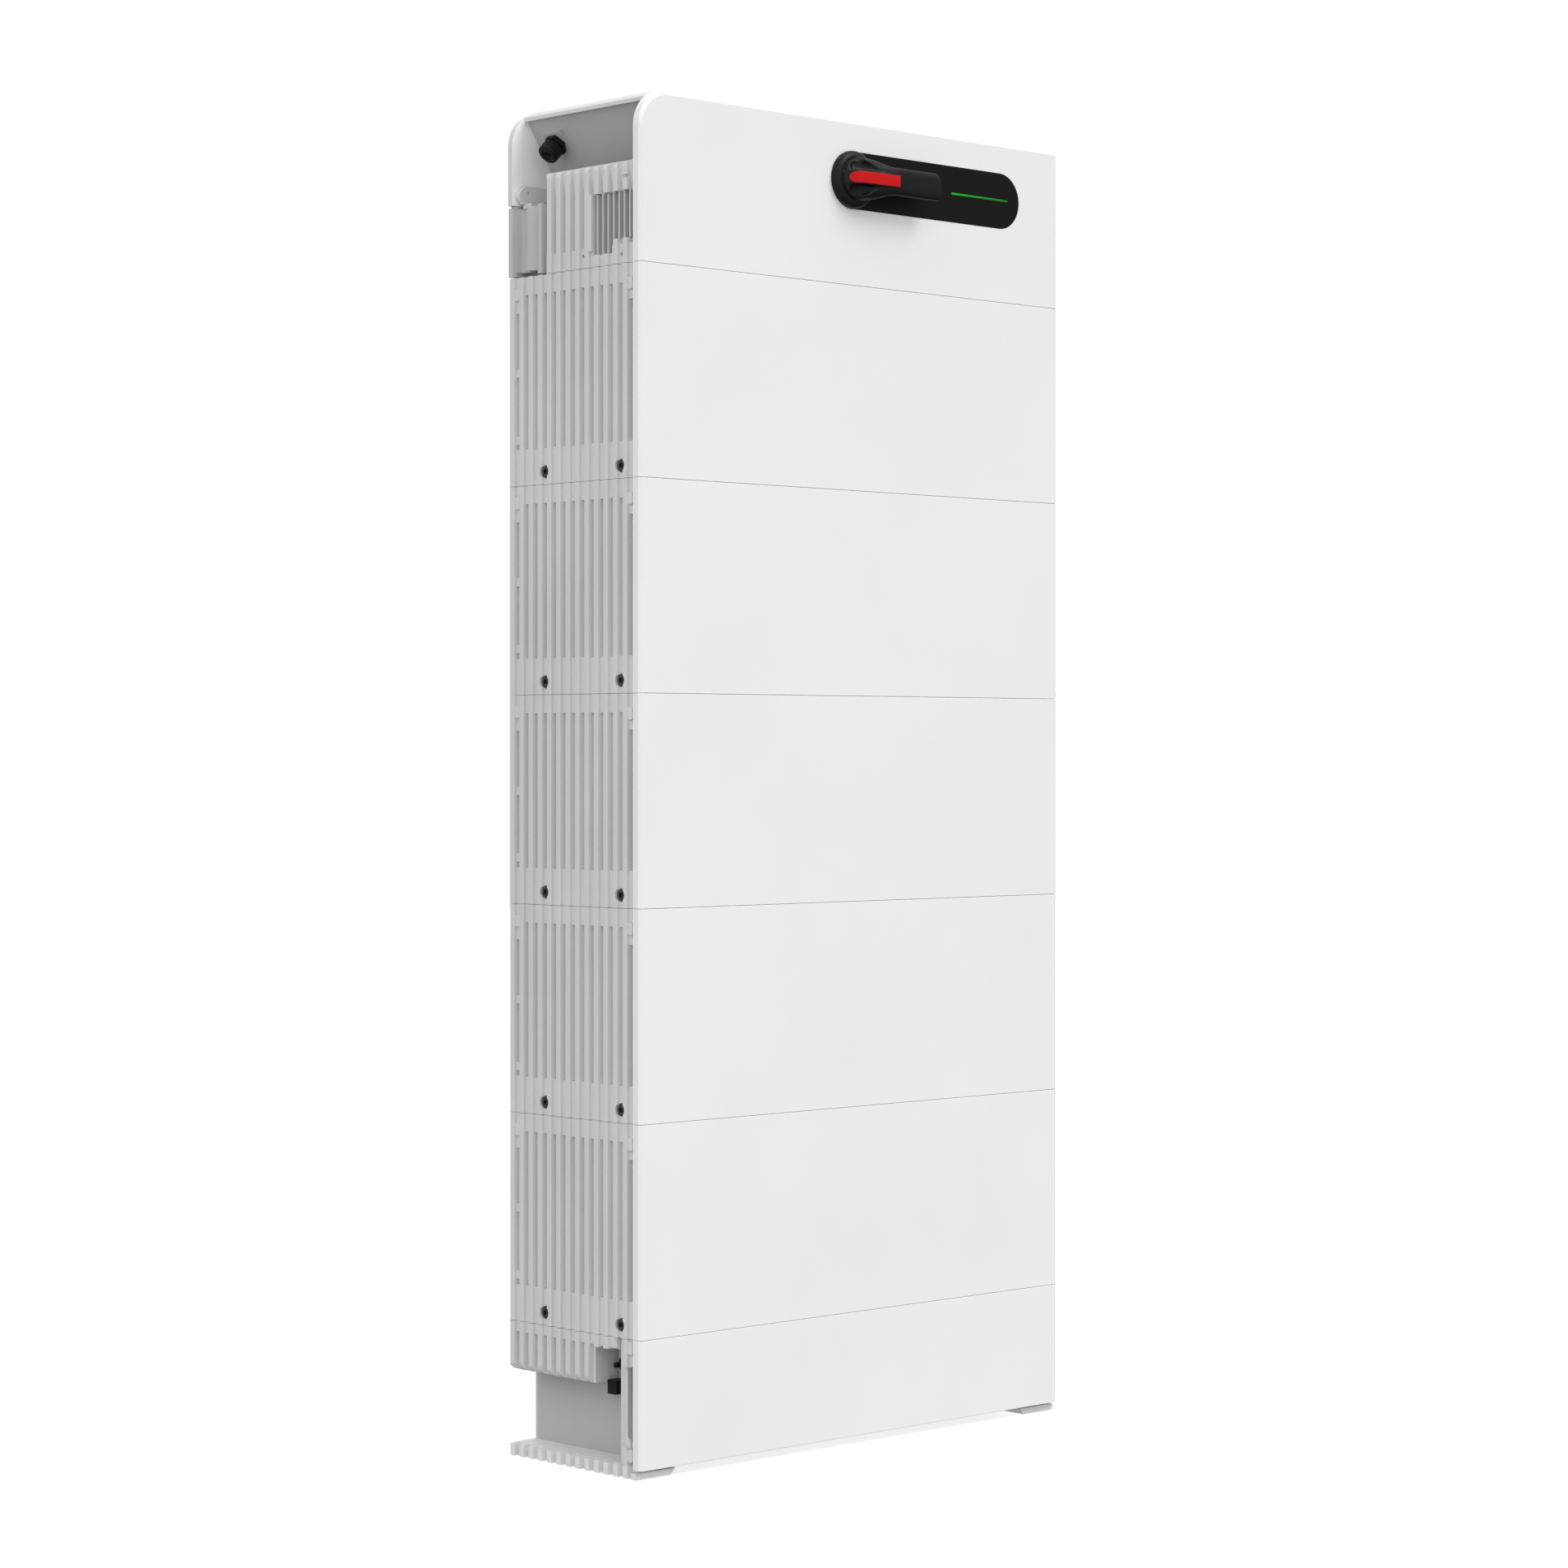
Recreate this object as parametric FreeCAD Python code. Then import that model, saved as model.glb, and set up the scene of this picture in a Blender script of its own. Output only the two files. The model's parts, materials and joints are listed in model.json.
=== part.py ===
import FreeCAD, Part
import math
import os

from FreeCAD import Vector

# Stacked home battery: a base, five battery modules and an inverter header.
# Millimetres. Z = 0 is the floor, X = 0 the middle of the width. Y = 0 is the middle of the
# envelope's depth, which runs from the tip of the isolator handle to the rear face.
# Places on the body are given by their distance from the left side ("depth", measured inwards),
# and from the front face, because every stacked unit shares those two datums.

# ---------------------------------------------------------------- driving dimensions

WIDTH = 767.0
BODY_DEPTH = 260.0
HANDLE_REACH = 36.0
MODULE_COUNT = 5
MODULE_HEIGHT = 270.0
BASE_TOP = 176.0
HEADER_HEIGHT = 220.0
SEAM = 0.4

COVER_DEPTH = 14.0
COVER_WALL = 3.0
COVER_SIDE_BEVEL = 4.0
COVER_TOP_BEVEL = 8.0
COVER_BEVEL_DEPTH = 4.0
COVER_EDGE_RADIUS = 0.8
COVER_LIP_RADIUS = 0.6
COVER_POST_RADIUS = 6.0
LEFT_TOP_RADIUS = 50.0
RIGHT_TOP_RADIUS = 9.0
BASE_COVER_BOTTOM = 13.0

LID_FRONT = 14.5
LID_THICKNESS = 2.0
GASKET_THICKNESS = 1.5
CASE_FRONT = LID_FRONT + LID_THICKNESS + GASKET_THICKNESS
CASE_WALL = 4.0

SIDE_COVER_FRONT = 16.5
SIDE_COVER_THICKNESS = 12.0
RIB_COUNT = 13
RIB_PITCH = 18.52
REAR_RIB = 252.6
RIB_CREST = 8.0
RIB_ROOT = 12.4
RIB_CREST_RADIUS = 1.4
RIB_ROOT_RADIUS = 2.4
GROOVE_DEPTH = 9.5
FILLER_DEPTH = 4.0
TOP_FILLER = 23.5
BOTTOM_FILLER = 47.0
CAP_RADIUS = 8.2
CAP_DEPTH = 1.6
FRONT_CAP_Y = 21.5
FRONT_CAP_DROP = 25.0
REAR_CAP_Y = 243.4
REAR_CAP_DROP = 21.5
FRONT_WEB_DROP = 45.0
REAR_WEBS = ((0.0, 46.0), (118.0, 129.0), (204.5, 215.5))

SCREW_Y = (RIB_PITCH * 2 + 2.3, RIB_PITCH * 10 + 2.3)
SCREW_HEIGHT = 16.5
SCREW_HEAD_RADIUS = 7.0
SCREW_SHANK_RADIUS = 4.0
COUNTERBORE_RADIUS = 8.6
SCREW_HEAD_DEPTH = 2.0
SCREW_SHANK_LENGTH = 15.0
SOCKET_RADIUS = 3.6

CELL_COUNT = 9
CELL_PITCH = 73.0
CELL_THICKNESS = 71.5
CELL_FRONT = 76.0
CELL_DEPTH = 174.0
CELL_HEIGHT = 204.0
TERMINAL_RADIUS = 9.0
TERMINAL_HEIGHT = 3.0
TERMINAL_INSET = 32.0
TERMINAL_Y = (CELL_FRONT + TERMINAL_INSET, CELL_FRONT + CELL_DEPTH - TERMINAL_INSET)
BUSBAR_THICKNESS = 3.0
END_PLATE_THICKNESS = 8.0

PLUG_Y = 48.0
PLUG_HALF_X = 30.0
PLUG_HALF_Y = 15.0
CONTACT_X = (-18.0, -2.0, 14.0)
DOWEL_RADIUS = 5.0
DOWEL_LENGTH = 16.0
DOWEL_X = 352.0
DOWEL_Y = (40.0, 220.0)

PANEL_CENTRE_X = 126.4
PANEL_CENTRE_Z = 1664.0
PANEL_LENGTH = 356.4
PANEL_HEIGHT = 75.0
PANEL_PROUD = 0.8
HUB_X = -14.5
HUB_RADIUS = 38.0
HUB_LENGTH = 20.0
SHAFT_RADIUS = 6.0
RUNNING_CLEARANCE = 0.05
GRIP_REACH = 135.0
GRIP_HEIGHT = 37.0
MARKER_HEIGHT = 15.0
MARKER_START = -28.0
MARKER_END = 55.0

RECESS_DEPTH = 60.0
FLANK_FOOT_DEPTH = 78.0
FLANK_TOP_DEPTH = 24.5
FLANK_TOP_Z = 1734.0
DISC_BOSS_Z = 1695.0
DISC_BOSS_Y = 62.0
HEADER_RIB_TOP = 1656.0
GROOVE_FADE_Z = 1612.0
GROOVE_FADE_DEPTH = 3.0
HEADER_RIB_REAR = 187.5
GLAND_DEPTH = 42.0
GLAND_Y = 211.0
GLAND_Z = 1701.0
CABLE_RADIUS = 5.0

SHELL_SKIN = 4.0
SHELL_REAR_WALL = 8.0
SHELL_REAR_RADIUS = 26.0
SHELL_SIDE_CUT = 20.0
SHELL_BOTTOM = 1620.5
SHELL_FRONT = 16.5
HOOD_GAP = 0.5
CHASSIS_REAR = BODY_DEPTH - SHELL_REAR_WALL
POST_TOP = 1617.0
POST_FRONT = 188.5
TAB_FRONT = 243.0
TAB_REAR = 247.0
TAB_TOP = 1646.0

WALL_HOLE_RADIUS = 4.25
WALL_HOLE_DEPTH = 10.0
WALL_HOLE_X = 250.0
WALL_HOLE_Z = 1590.0

WINDOW_TOP = 1618.0
WINDOW_LOW = 1541.0
WINDOW_STEP = 1558.0
WINDOW_REAR = 94.0
WINDOW_STEP_Y = 58.2
WINDOW_GAP = 0.3
FIN_COUNT = 7
FIN_PITCH = 10.4
FIN_THICKNESS = 3.6
FIN_CREST_DEPTH = 4.0

PANEL_FLANGE_REAR = 6.5
LIGHT_X = 227.0
LIGHT_Z = PANEL_CENTRE_Z + 1
LIGHT_LENGTH = 110.0
LIGHT_HEIGHT = 2.6
HUB_FRONT = -PANEL_PROUD - 0.3 - HUB_LENGTH
GRIP_FRONT = -HANDLE_REACH
GRIP_BACK = -21.0
MARKER_BEND_Y = -31.0
MARKER_GAP = 0.15
SHAFT_START = HUB_FRONT + HUB_LENGTH - 8
SHAFT_END = 60.0

GLAND_THREAD_RADIUS = 10.0
GLAND_BORE_RADIUS = 7.5
GLAND_NUT_START = 10.0
GLAND_NUT_LENGTH = 15.0
GLAND_NUT_RADIUS = 14.0
GLAND_FLUTES = 12
SEAL_START = 5.0
SEAL_LENGTH = 18.0

BOARD_FRONT = 120.0
FAN_X = 190.0
FAN_Z = 1600.0
FAN_FRONT = 178.0
FAN_DEPTH = 25.0
FAN_SIZE = 80.0
FAN_PIN_RADIUS = 2.5
FAN_BACK = 3.0
BLADE_COUNT = 7
BLADE_PITCH_ANGLE = 32.0

BASE_BOX_DEPTH = 46.0
SKIRT_BOTTOM = 112.0
SKIRT_FRONT = 96.0
SKIRT_STRIP_FRONT = 49.0
SKIRT_STRIP_BOTTOM = 160.0
SLOT_LOW = 45.0
SLOT_HIGH = 141.0
PORT_Y = 82.0
PORT_Z = 134.0
PLATE_TOP = 17.0
PLATE_BOTTOM = 1.5
PAD_WIDTH = 58.5
PAD_TOP = 9.5
PAD_FRONT = 9.0
ARCH_TOP = 12.5
FOOT_RADIUS = 10.0
FOOT_HEIGHT = 5.0
FOOT_STEM_RADIUS = 5.0
FOOT_STEM_TOP = 14.0
FOOT_INSET = 23.0
FOOT_Y = (36.0, 238.0)

# ---------------------------------------------------------------- derived datums

HALF_W = WIDTH / 2
FRONT_Y = HANDLE_REACH - (BODY_DEPTH + HANDLE_REACH) / 2
STACK_TOP = BASE_TOP + MODULE_COUNT * MODULE_HEIGHT
TOP = STACK_TOP + HEADER_HEIGHT
MODULE_BOTTOMS = [BASE_TOP + i * MODULE_HEIGHT for i in range(MODULE_COUNT)]
INTERFACES = [BASE_TOP + i * MODULE_HEIGHT for i in range(MODULE_COUNT + 1)]
RIB_CENTRES = [REAR_RIB - i * RIB_PITCH for i in range(RIB_COUNT)]
FOOT_PLACES = [(sx * (HALF_W - FOOT_INSET), y) for sx in (-1, 1) for y in FOOT_Y]
LOW_HEADER = STACK_TOP + SEAM / 2
CHASSIS_SHELF = HEADER_RIB_TOP - 4
INNER_HALF = HALF_W - SIDE_COVER_THICKNESS
X_AXIS = Vector(1, 0, 0)
Y_AXIS = Vector(0, 1, 0)
Z_AXIS = Vector(0, 0, 1)


# ---------------------------------------------------------------- helpers

def front(y):
    """Y of a plane that lies y behind the front face."""
    return FRONT_Y + y


def side(depth):
    """X of a plane that lies depth inwards from the left side."""
    return -HALF_W + depth


def block(x0, x1, y0, y1, z0, z1):
    """Box between two X planes, two distances behind the front face and two heights."""
    return Part.makeBox(x1 - x0, y1 - y0, z1 - z0, Vector(x0, front(y0), z0))


def side_block(d0, d1, y0, y1, z0, z1):
    """Box on the left side, with its X planes given as depths from that side."""
    return block(side(d0), side(d1), y0, y1, z0, z1)


def rod(radius, start, direction, length):
    """Cylinder from a start point, with y of that point behind the front face."""
    base = Vector(start[0], front(start[1]), start[2])
    return Part.makeCylinder(radius, length, base, direction)


def mirrored(shape):
    """The same piece on the right side."""
    return shape.mirror(Vector(0, 0, 0), X_AXIS)


def both(shape):
    """A left-hand piece and its mirror image."""
    return [shape, mirrored(shape)]


def outline(corners, place):
    """Closed wire through (u, v, radius) corners, with a tangent arc at each radius."""
    count = len(corners)
    starts = []
    mids = []
    ends = []
    for i, (u, v, radius) in enumerate(corners):
        here = Vector(u, v, 0)
        before = Vector(*corners[i - 1][:2], 0) - here
        after = Vector(*corners[(i + 1) % count][:2], 0) - here
        before.normalize()
        after.normalize()
        half_angle = before.getAngle(after) / 2
        if radius == 0:
            starts.append(here)
            mids.append(None)
            ends.append(here)
            continue
        tangent = radius / math.tan(half_angle)
        middle = before + after
        middle.normalize()
        reach = radius / math.sin(half_angle) - radius
        starts.append(here + before * tangent)
        mids.append(here + middle * reach)
        ends.append(here + after * tangent)
    edges = []
    for i in range(count):
        if mids[i] is not None:
            edges.append(Part.Arc(place(starts[i]), place(mids[i]), place(ends[i])).toShape())
        gap_end = starts[(i + 1) % count]
        if (gap_end - ends[i]).Length > 1e-6:
            edges.append(Part.LineSegment(place(ends[i]), place(gap_end)).toShape())
    return Part.Wire(edges)


def prism_z(corners, z0, z1):
    """Solid of an outline in (depth, y) on the left side, between two heights."""
    wire = outline(corners, lambda p: Vector(side(p.x), front(p.y), z0))
    return Part.Face(wire).extrude(Vector(0, 0, z1 - z0))


def prism_y(corners, y0, y1):
    """Solid of an outline in (X, Z), between two distances behind the front face."""
    wire = outline(corners, lambda p: Vector(p.x, front(y0), p.y))
    return Part.Face(wire).extrude(Vector(0, y1 - y0, 0))


def prism_x(corners, x0, x1):
    """Solid of an outline in (y behind the front, Z), between two X planes."""
    wire = outline(corners, lambda p: Vector(x0, front(p.x), p.y))
    return Part.Face(wire).extrude(Vector(x1 - x0, 0, 0))


def rectangle(u0, u1, v0, v1, radius=0):
    """Corners of a rectangle, all with one radius."""
    return [(u0, v0, radius), (u1, v0, radius), (u1, v1, radius), (u0, v1, radius)]


def stadium(x, z, length, height, y0, y1):
    """Flat bar with round ends, lying along X."""
    radius = height / 2
    half = length / 2
    straight = half - radius
    wire = Part.Wire([
        Part.LineSegment(Vector(x - straight, front(y0), z - radius),
                         Vector(x + straight, front(y0), z - radius)).toShape(),
        Part.Arc(Vector(x + straight, front(y0), z - radius), Vector(x + half, front(y0), z),
                 Vector(x + straight, front(y0), z + radius)).toShape(),
        Part.LineSegment(Vector(x + straight, front(y0), z + radius),
                         Vector(x - straight, front(y0), z + radius)).toShape(),
        Part.Arc(Vector(x - straight, front(y0), z + radius), Vector(x - half, front(y0), z),
                 Vector(x - straight, front(y0), z - radius)).toShape(),
    ])
    return Part.Face(wire).extrude(Vector(0, y1 - y0, 0))


def joined(first, others):
    """One solid from several that touch or overlap."""
    return first.fuse(list(others)).removeSplitter()


def edges_on_plane(shape, axis, value):
    """Edges whose every point has one coordinate equal to value."""
    found = []
    for edge in shape.Edges:
        box = edge.BoundBox
        low = getattr(box, axis + "Min")
        high = getattr(box, axis + "Max")
        if abs(low - value) < 1e-4 and abs(high - value) < 1e-4:
            found.append(edge)
    return found


def save(name, solids):
    """One STEP file per node; a node may be a group of separate solids."""
    shape = solids[0] if len(solids) == 1 else Part.makeCompound(solids)
    shape.exportStep("parts/" + name + ".step")


# ---------------------------------------------------------------- front covers

def cover_posts(x_places, z_places, rear):
    """Fixing posts behind a cover, which reach back to the plate that carries it."""
    return [rod(COVER_POST_RADIUS, (x, COVER_WALL - 0.5, z), Y_AXIS, rear - COVER_WALL + 0.5)
            for x in x_places for z in z_places]


def front_cover(z0, z1, post_rear):
    """Pressed cover, open at the back, with bevelled long edges and crisp seams."""
    corners = [(0, COVER_DEPTH, 0), (0, COVER_BEVEL_DEPTH, COVER_EDGE_RADIUS),
               (COVER_SIDE_BEVEL, 0, COVER_EDGE_RADIUS), (WIDTH - COVER_SIDE_BEVEL, 0, COVER_EDGE_RADIUS),
               (WIDTH, COVER_BEVEL_DEPTH, COVER_EDGE_RADIUS), (WIDTH, COVER_DEPTH, 0)]
    outer = prism_z(corners, z0, z1)
    level = [e for e in edges_on_plane(outer, "Y", front(0)) if e.BoundBox.ZLength < 1]
    outer = outer.makeFillet(COVER_LIP_RADIUS, level)
    hollow = block(-HALF_W + COVER_WALL, HALF_W - COVER_WALL, COVER_WALL, COVER_DEPTH,
                   z0 + COVER_WALL, z1 - COVER_WALL)
    middle = (z0 + z1) / 2
    spread = (z1 - z0) / 3
    posts = cover_posts((-300, 0, 300), (middle - spread, middle + spread), post_rear)
    return joined(outer.cut(hollow), posts)


def header_outline(inset=0.0, bottom=LOW_HEADER):
    """Front view of the header: a widely rounded left top corner and a tight right one."""
    left_radius = LEFT_TOP_RADIUS - inset
    right_radius = max(RIGHT_TOP_RADIUS - inset, 0)
    return [(-HALF_W + inset, bottom, 0), (HALF_W - inset, bottom, 0),
            (HALF_W - inset, TOP - inset, right_radius), (-HALF_W + inset, TOP - inset, left_radius)]


def header_bevel():
    """Slanted rim between the header's flat face and its full outline."""
    top = TOP - COVER_TOP_BEVEL
    edge = HALF_W - COVER_SIDE_BEVEL
    left_radius = LEFT_TOP_RADIUS - COVER_TOP_BEVEL
    right_radius = RIGHT_TOP_RADIUS - COVER_TOP_BEVEL
    face = [(-edge, LOW_HEADER, 0), (edge, LOW_HEADER, 0), (edge, top, right_radius), (-edge, top, left_radius)]
    near = outline(face, lambda p: Vector(p.x, front(0), p.y))
    far = outline(header_outline(), lambda p: Vector(p.x, front(COVER_BEVEL_DEPTH), p.y))
    return Part.makeLoft([near, far], True, True)


def header_front_cover():
    """Header's cover, with a round-ended window for the control panel."""
    outer = joined(prism_y(header_outline(), COVER_BEVEL_DEPTH, COVER_DEPTH), [header_bevel()])
    hollow = prism_y(header_outline(COVER_WALL, LOW_HEADER + COVER_WALL),
                     COVER_WALL, COVER_DEPTH)
    panel_hole = stadium(PANEL_CENTRE_X, PANEL_CENTRE_Z, PANEL_LENGTH + 0.6,
                         PANEL_HEIGHT + 0.6, -1, COVER_WALL + 1)
    posts = cover_posts((-300, 0, 300), (STACK_TOP + 50,), LID_FRONT)
    posts += cover_posts((-300, 325), (STACK_TOP + 185,), LID_FRONT)
    return joined(outer.cut([hollow, panel_hole]), posts)


# ---------------------------------------------------------------- ribbed sides

def rib_strip(y0, y1, z0, z1, skip=()):
    """Ribbed plate on the left side: crests at depth 0, groove floors at GROOVE_DEPTH."""
    corners = [(SIDE_COVER_THICKNESS, y1, 0), (SIDE_COVER_THICKNESS, y0, 0), (GROOVE_DEPTH, y0, 0)]
    for index in range(RIB_COUNT - 1, -1, -1):
        centre = RIB_CENTRES[index]
        if centre - RIB_ROOT / 2 < y0 or centre > y1 or index in skip:
            continue
        corners.append((GROOVE_DEPTH, centre - RIB_ROOT / 2, RIB_ROOT_RADIUS))
        corners.append((0, centre - RIB_CREST / 2, RIB_CREST_RADIUS))
        if centre + RIB_ROOT / 2 + RIB_ROOT_RADIUS > y1:
            edge = min(y1, centre + RIB_CREST / 2 + 3)
            corners.append((0, centre + RIB_CREST / 2, RIB_CREST_RADIUS))
            corners.append((4, edge, 0))
        else:
            corners.append((0, centre + RIB_CREST / 2, RIB_CREST_RADIUS))
            corners.append((GROOVE_DEPTH, centre + RIB_ROOT / 2, RIB_ROOT_RADIUS))
    if corners[-1][1] < y1:
        corners.append((corners[-1][0], y1, 0))
    return prism_z(corners, z0, z1)


def filler(y0, y1, z0, z1):
    """Shallow web that closes the grooves between two heights."""
    return side_block(FILLER_DEPTH, SIDE_COVER_THICKNESS, y0, y1, z0, z1)


def painted_cap(y, z):
    """Round painted plug that stands in a groove, trimmed level with the side's front edge."""
    cap = rod(CAP_RADIUS, (side(CAP_DEPTH), y, z), X_AXIS, SIDE_COVER_THICKNESS - CAP_DEPTH)
    keep = side_block(0, SIDE_COVER_THICKNESS, SIDE_COVER_FRONT, BODY_DEPTH, z - 20, z + 20)
    return cap.common(keep)


def screw_pocket(y, z):
    """Counterbore through the ribs, and the clearance hole behind it."""
    bore = rod(COUNTERBORE_RADIUS, (side(-1), y, z), X_AXIS, GROOVE_DEPTH + 1)
    hole = rod(SCREW_SHANK_RADIUS + 0.2, (side(0), y, z), X_AXIS, SIDE_COVER_THICKNESS + 1)
    return [bore, hole]


def module_side_cover(z0, z1):
    """Cast side cover: ribs, webs at both ends, three webs in the last groove and two painted caps."""
    low = z0 + SEAM / 2
    high = z1 - SEAM / 2
    plate = rib_strip(SIDE_COVER_FRONT, BODY_DEPTH, low, high)
    added = [
        filler(SIDE_COVER_FRONT, BODY_DEPTH, high - TOP_FILLER, high),
        filler(SIDE_COVER_FRONT, BODY_DEPTH, low, low + BOTTOM_FILLER),
        filler(SIDE_COVER_FRONT, RIB_CENTRES[-1], high - FRONT_WEB_DROP, high),
        painted_cap(REAR_CAP_Y, high - REAR_CAP_DROP),
        painted_cap(FRONT_CAP_Y, high - FRONT_CAP_DROP),
    ]
    added += [filler(REAR_RIB - RIB_PITCH, REAR_RIB, high - end, high - start) for start, end in REAR_WEBS]
    body = joined(plate, added)
    cutters = []
    for y in SCREW_Y:
        cutters += screw_pocket(y, z0 + SCREW_HEIGHT)
    return body.cut(cutters)


def side_screw(y, z):
    """Black socket screw that ties a unit to the one below."""
    head = rod(SCREW_HEAD_RADIUS, (side(SCREW_HEAD_DEPTH), y, z), X_AXIS, GROOVE_DEPTH - SCREW_HEAD_DEPTH)
    head = head.makeFillet(0.8, edges_on_plane(head, "X", side(SCREW_HEAD_DEPTH)))
    shank = rod(SCREW_SHANK_RADIUS, (side(GROOVE_DEPTH), y, z), X_AXIS, SCREW_SHANK_LENGTH)
    corners = []
    for k in range(7):
        angle = math.radians(60 * k)
        corners.append(Vector(side(SCREW_HEAD_DEPTH - 1), front(y) + SOCKET_RADIUS * math.sin(angle),
                              z + SOCKET_RADIUS * math.cos(angle)))
    recess = Part.Face(Part.makePolygon(corners)).extrude(Vector(5, 0, 0))
    return joined(head, [shank]).cut(recess)


# ---------------------------------------------------------------- battery modules

def interface_holes(z):
    """Openings in the walls on both sides of an interface, for the plug and the dowels."""
    plug_room = block(-PLUG_HALF_X - 1, PLUG_HALF_X + 1, PLUG_Y - PLUG_HALF_Y - 1, PLUG_Y + PLUG_HALF_Y + 1,
                      z - 6, z + 6)
    cutters = [plug_room]
    for x in (-DOWEL_X, DOWEL_X):
        for y in DOWEL_Y:
            cutters.append(rod(DOWEL_RADIUS + RUNNING_CLEARANCE, (x, y, z - 6), Z_AXIS, 12))
    return cutters


def module_case(z0, z1):
    """Box that holds the cells, open at the front where the lid closes it."""
    low = z0 + SEAM / 2
    high = z1 - SEAM / 2
    outer = block(-INNER_HALF, INNER_HALF, CASE_FRONT, BODY_DEPTH, low, high)
    cavity = block(-INNER_HALF + CASE_WALL, INNER_HALF - CASE_WALL, CASE_FRONT - 1, BODY_DEPTH - CASE_WALL,
                   low + CASE_WALL, high - CASE_WALL)
    cutters = [cavity] + interface_holes(z0) + interface_holes(z1)
    for y in SCREW_Y:
        cutters += both(rod(SCREW_SHANK_RADIUS + 0.1, (side(0), y, z0 + SCREW_HEIGHT), X_AXIS, 30))
    return outer.cut(cutters)


def lid_plate(z0, z1):
    """Flat lid that closes a module's box behind the front cover."""
    return block(-INNER_HALF, INNER_HALF, LID_FRONT, LID_FRONT + LID_THICKNESS, z0 + SEAM / 2, z1 - SEAM / 2)


def lid_gasket(z0, z1):
    """Rectangular seal between a lid and the walls of its box."""
    low = z0 + SEAM / 2
    high = z1 - SEAM / 2
    rear_of_lid = LID_FRONT + LID_THICKNESS
    outer = block(-INNER_HALF, INNER_HALF, rear_of_lid, CASE_FRONT, low, high)
    inner = block(-INNER_HALF + CASE_WALL, INNER_HALF - CASE_WALL, rear_of_lid - 1, CASE_FRONT + 1,
                  low + CASE_WALL, high - CASE_WALL)
    return outer.cut(inner)


def floor_of(z0):
    """Height of the inner floor of a unit that starts at z0."""
    return z0 + SEAM / 2 + CASE_WALL


def cell_x(index):
    """Middle of a cell, with the row centred on the unit."""
    return (index - (CELL_COUNT - 1) / 2) * CELL_PITCH


def battery_cell(index, z0):
    """Prismatic cell with two terminals and a vent disc on its top."""
    x = cell_x(index)
    half = CELL_THICKNESS / 2
    bottom = floor_of(z0)
    can = block(x - half, x + half, CELL_FRONT, CELL_FRONT + CELL_DEPTH, bottom, bottom + CELL_HEIGHT)
    can = can.makeFillet(2.0, [e for e in can.Edges if e.BoundBox.ZLength > 1])
    posts = [rod(TERMINAL_RADIUS, (x, y, bottom + CELL_HEIGHT), Z_AXIS, TERMINAL_HEIGHT)
             for y in TERMINAL_Y]
    vent = rod(12, (x, CELL_FRONT + CELL_DEPTH / 2, bottom + CELL_HEIGHT), Z_AXIS, 0.6)
    return joined(can, posts + [vent])


def busbars(z0):
    """Links between neighbouring cells, swapping between the front and rear terminal rows."""
    bottom = floor_of(z0) + CELL_HEIGHT + TERMINAL_HEIGHT
    links = []
    for index in range(CELL_COUNT - 1):
        y = TERMINAL_Y[index % 2]
        x0 = cell_x(index) - 10
        x1 = cell_x(index + 1) + 10
        link = prism_z(rectangle(x0 + HALF_W, x1 + HALF_W, y - 10, y + 10, 4),
                       bottom, bottom + BUSBAR_THICKNESS)
        links.append(link)
    return links


def end_plates(z0):
    """Pocketed plates that clamp the row of cells at both ends."""
    edge = cell_x(CELL_COUNT - 1) + CELL_THICKNESS / 2 + 0.25
    bottom = floor_of(z0)
    plate = block(edge, edge + END_PLATE_THICKNESS, CELL_FRONT, CELL_FRONT + CELL_DEPTH,
                  bottom, bottom + CELL_HEIGHT)
    pitch = 54
    pockets = [block(edge + 3, edge + END_PLATE_THICKNESS, CELL_FRONT + 12 + pitch * k,
                     CELL_FRONT + pitch * (k + 1), bottom + 14, bottom + CELL_HEIGHT - 14) for k in range(3)]
    return both(plate.cut(pockets))


def management_board(z0):
    """Battery management board on four pillars in front of the cells."""
    bottom = floor_of(z0)
    face = 62.0
    back = face + 1.6
    board = block(-345, -50, face, back, bottom + 24, bottom + 236)
    pillars = [rod(4, (x, back, bottom + h), Y_AXIS, CELL_FRONT - back)
               for x in (-310, -75) for h in (40, 190)]
    chips = [block(x, x + 38, face - 6, face, bottom + 60, bottom + 98) for x in (-330, -268, -206, -144)]
    relays = [block(x, x + 54, face - 22, face, bottom + 130, bottom + 180) for x in (-322, -238, -154)]
    return joined(board, pillars + chips + relays)


def pack_converter(z0):
    """Converter that lets each module be charged on its own, finned on its front."""
    bottom = floor_of(z0)
    face = 40.0
    back = 70.0
    fin_pitch = 18
    body = block(50, 345, face, back, bottom + 24, bottom + 236)
    feet = [rod(5, (x, back, bottom + h), Y_AXIS, CELL_FRONT - back) for x in (75, 310) for h in (50, 185)]
    fins = [block(58 + fin_pitch * k, 62 + fin_pitch * k, face - 12, face, bottom + 30, bottom + 230)
            for k in range(16)]
    return joined(body, feet + fins)


def stack_plug(z):
    """Blind-mating plug that stands up through the top wall of the lower unit."""
    flange_top = z - SEAM / 2 - CASE_WALL
    body = block(-PLUG_HALF_X, PLUG_HALF_X, PLUG_Y - PLUG_HALF_Y, PLUG_Y + PLUG_HALF_Y,
                 flange_top - 26, z + 20)
    flange = block(-PLUG_HALF_X - 7, PLUG_HALF_X + 7, PLUG_Y - PLUG_HALF_Y - 7, PLUG_Y + PLUG_HALF_Y + 7,
                   flange_top - 4, flange_top)
    contacts = [block(x - 4, x + 4, PLUG_Y - 8, PLUG_Y + 8, z + 6, z + 20) for x in CONTACT_X]
    return joined(body, [flange]).cut(contacts)


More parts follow.
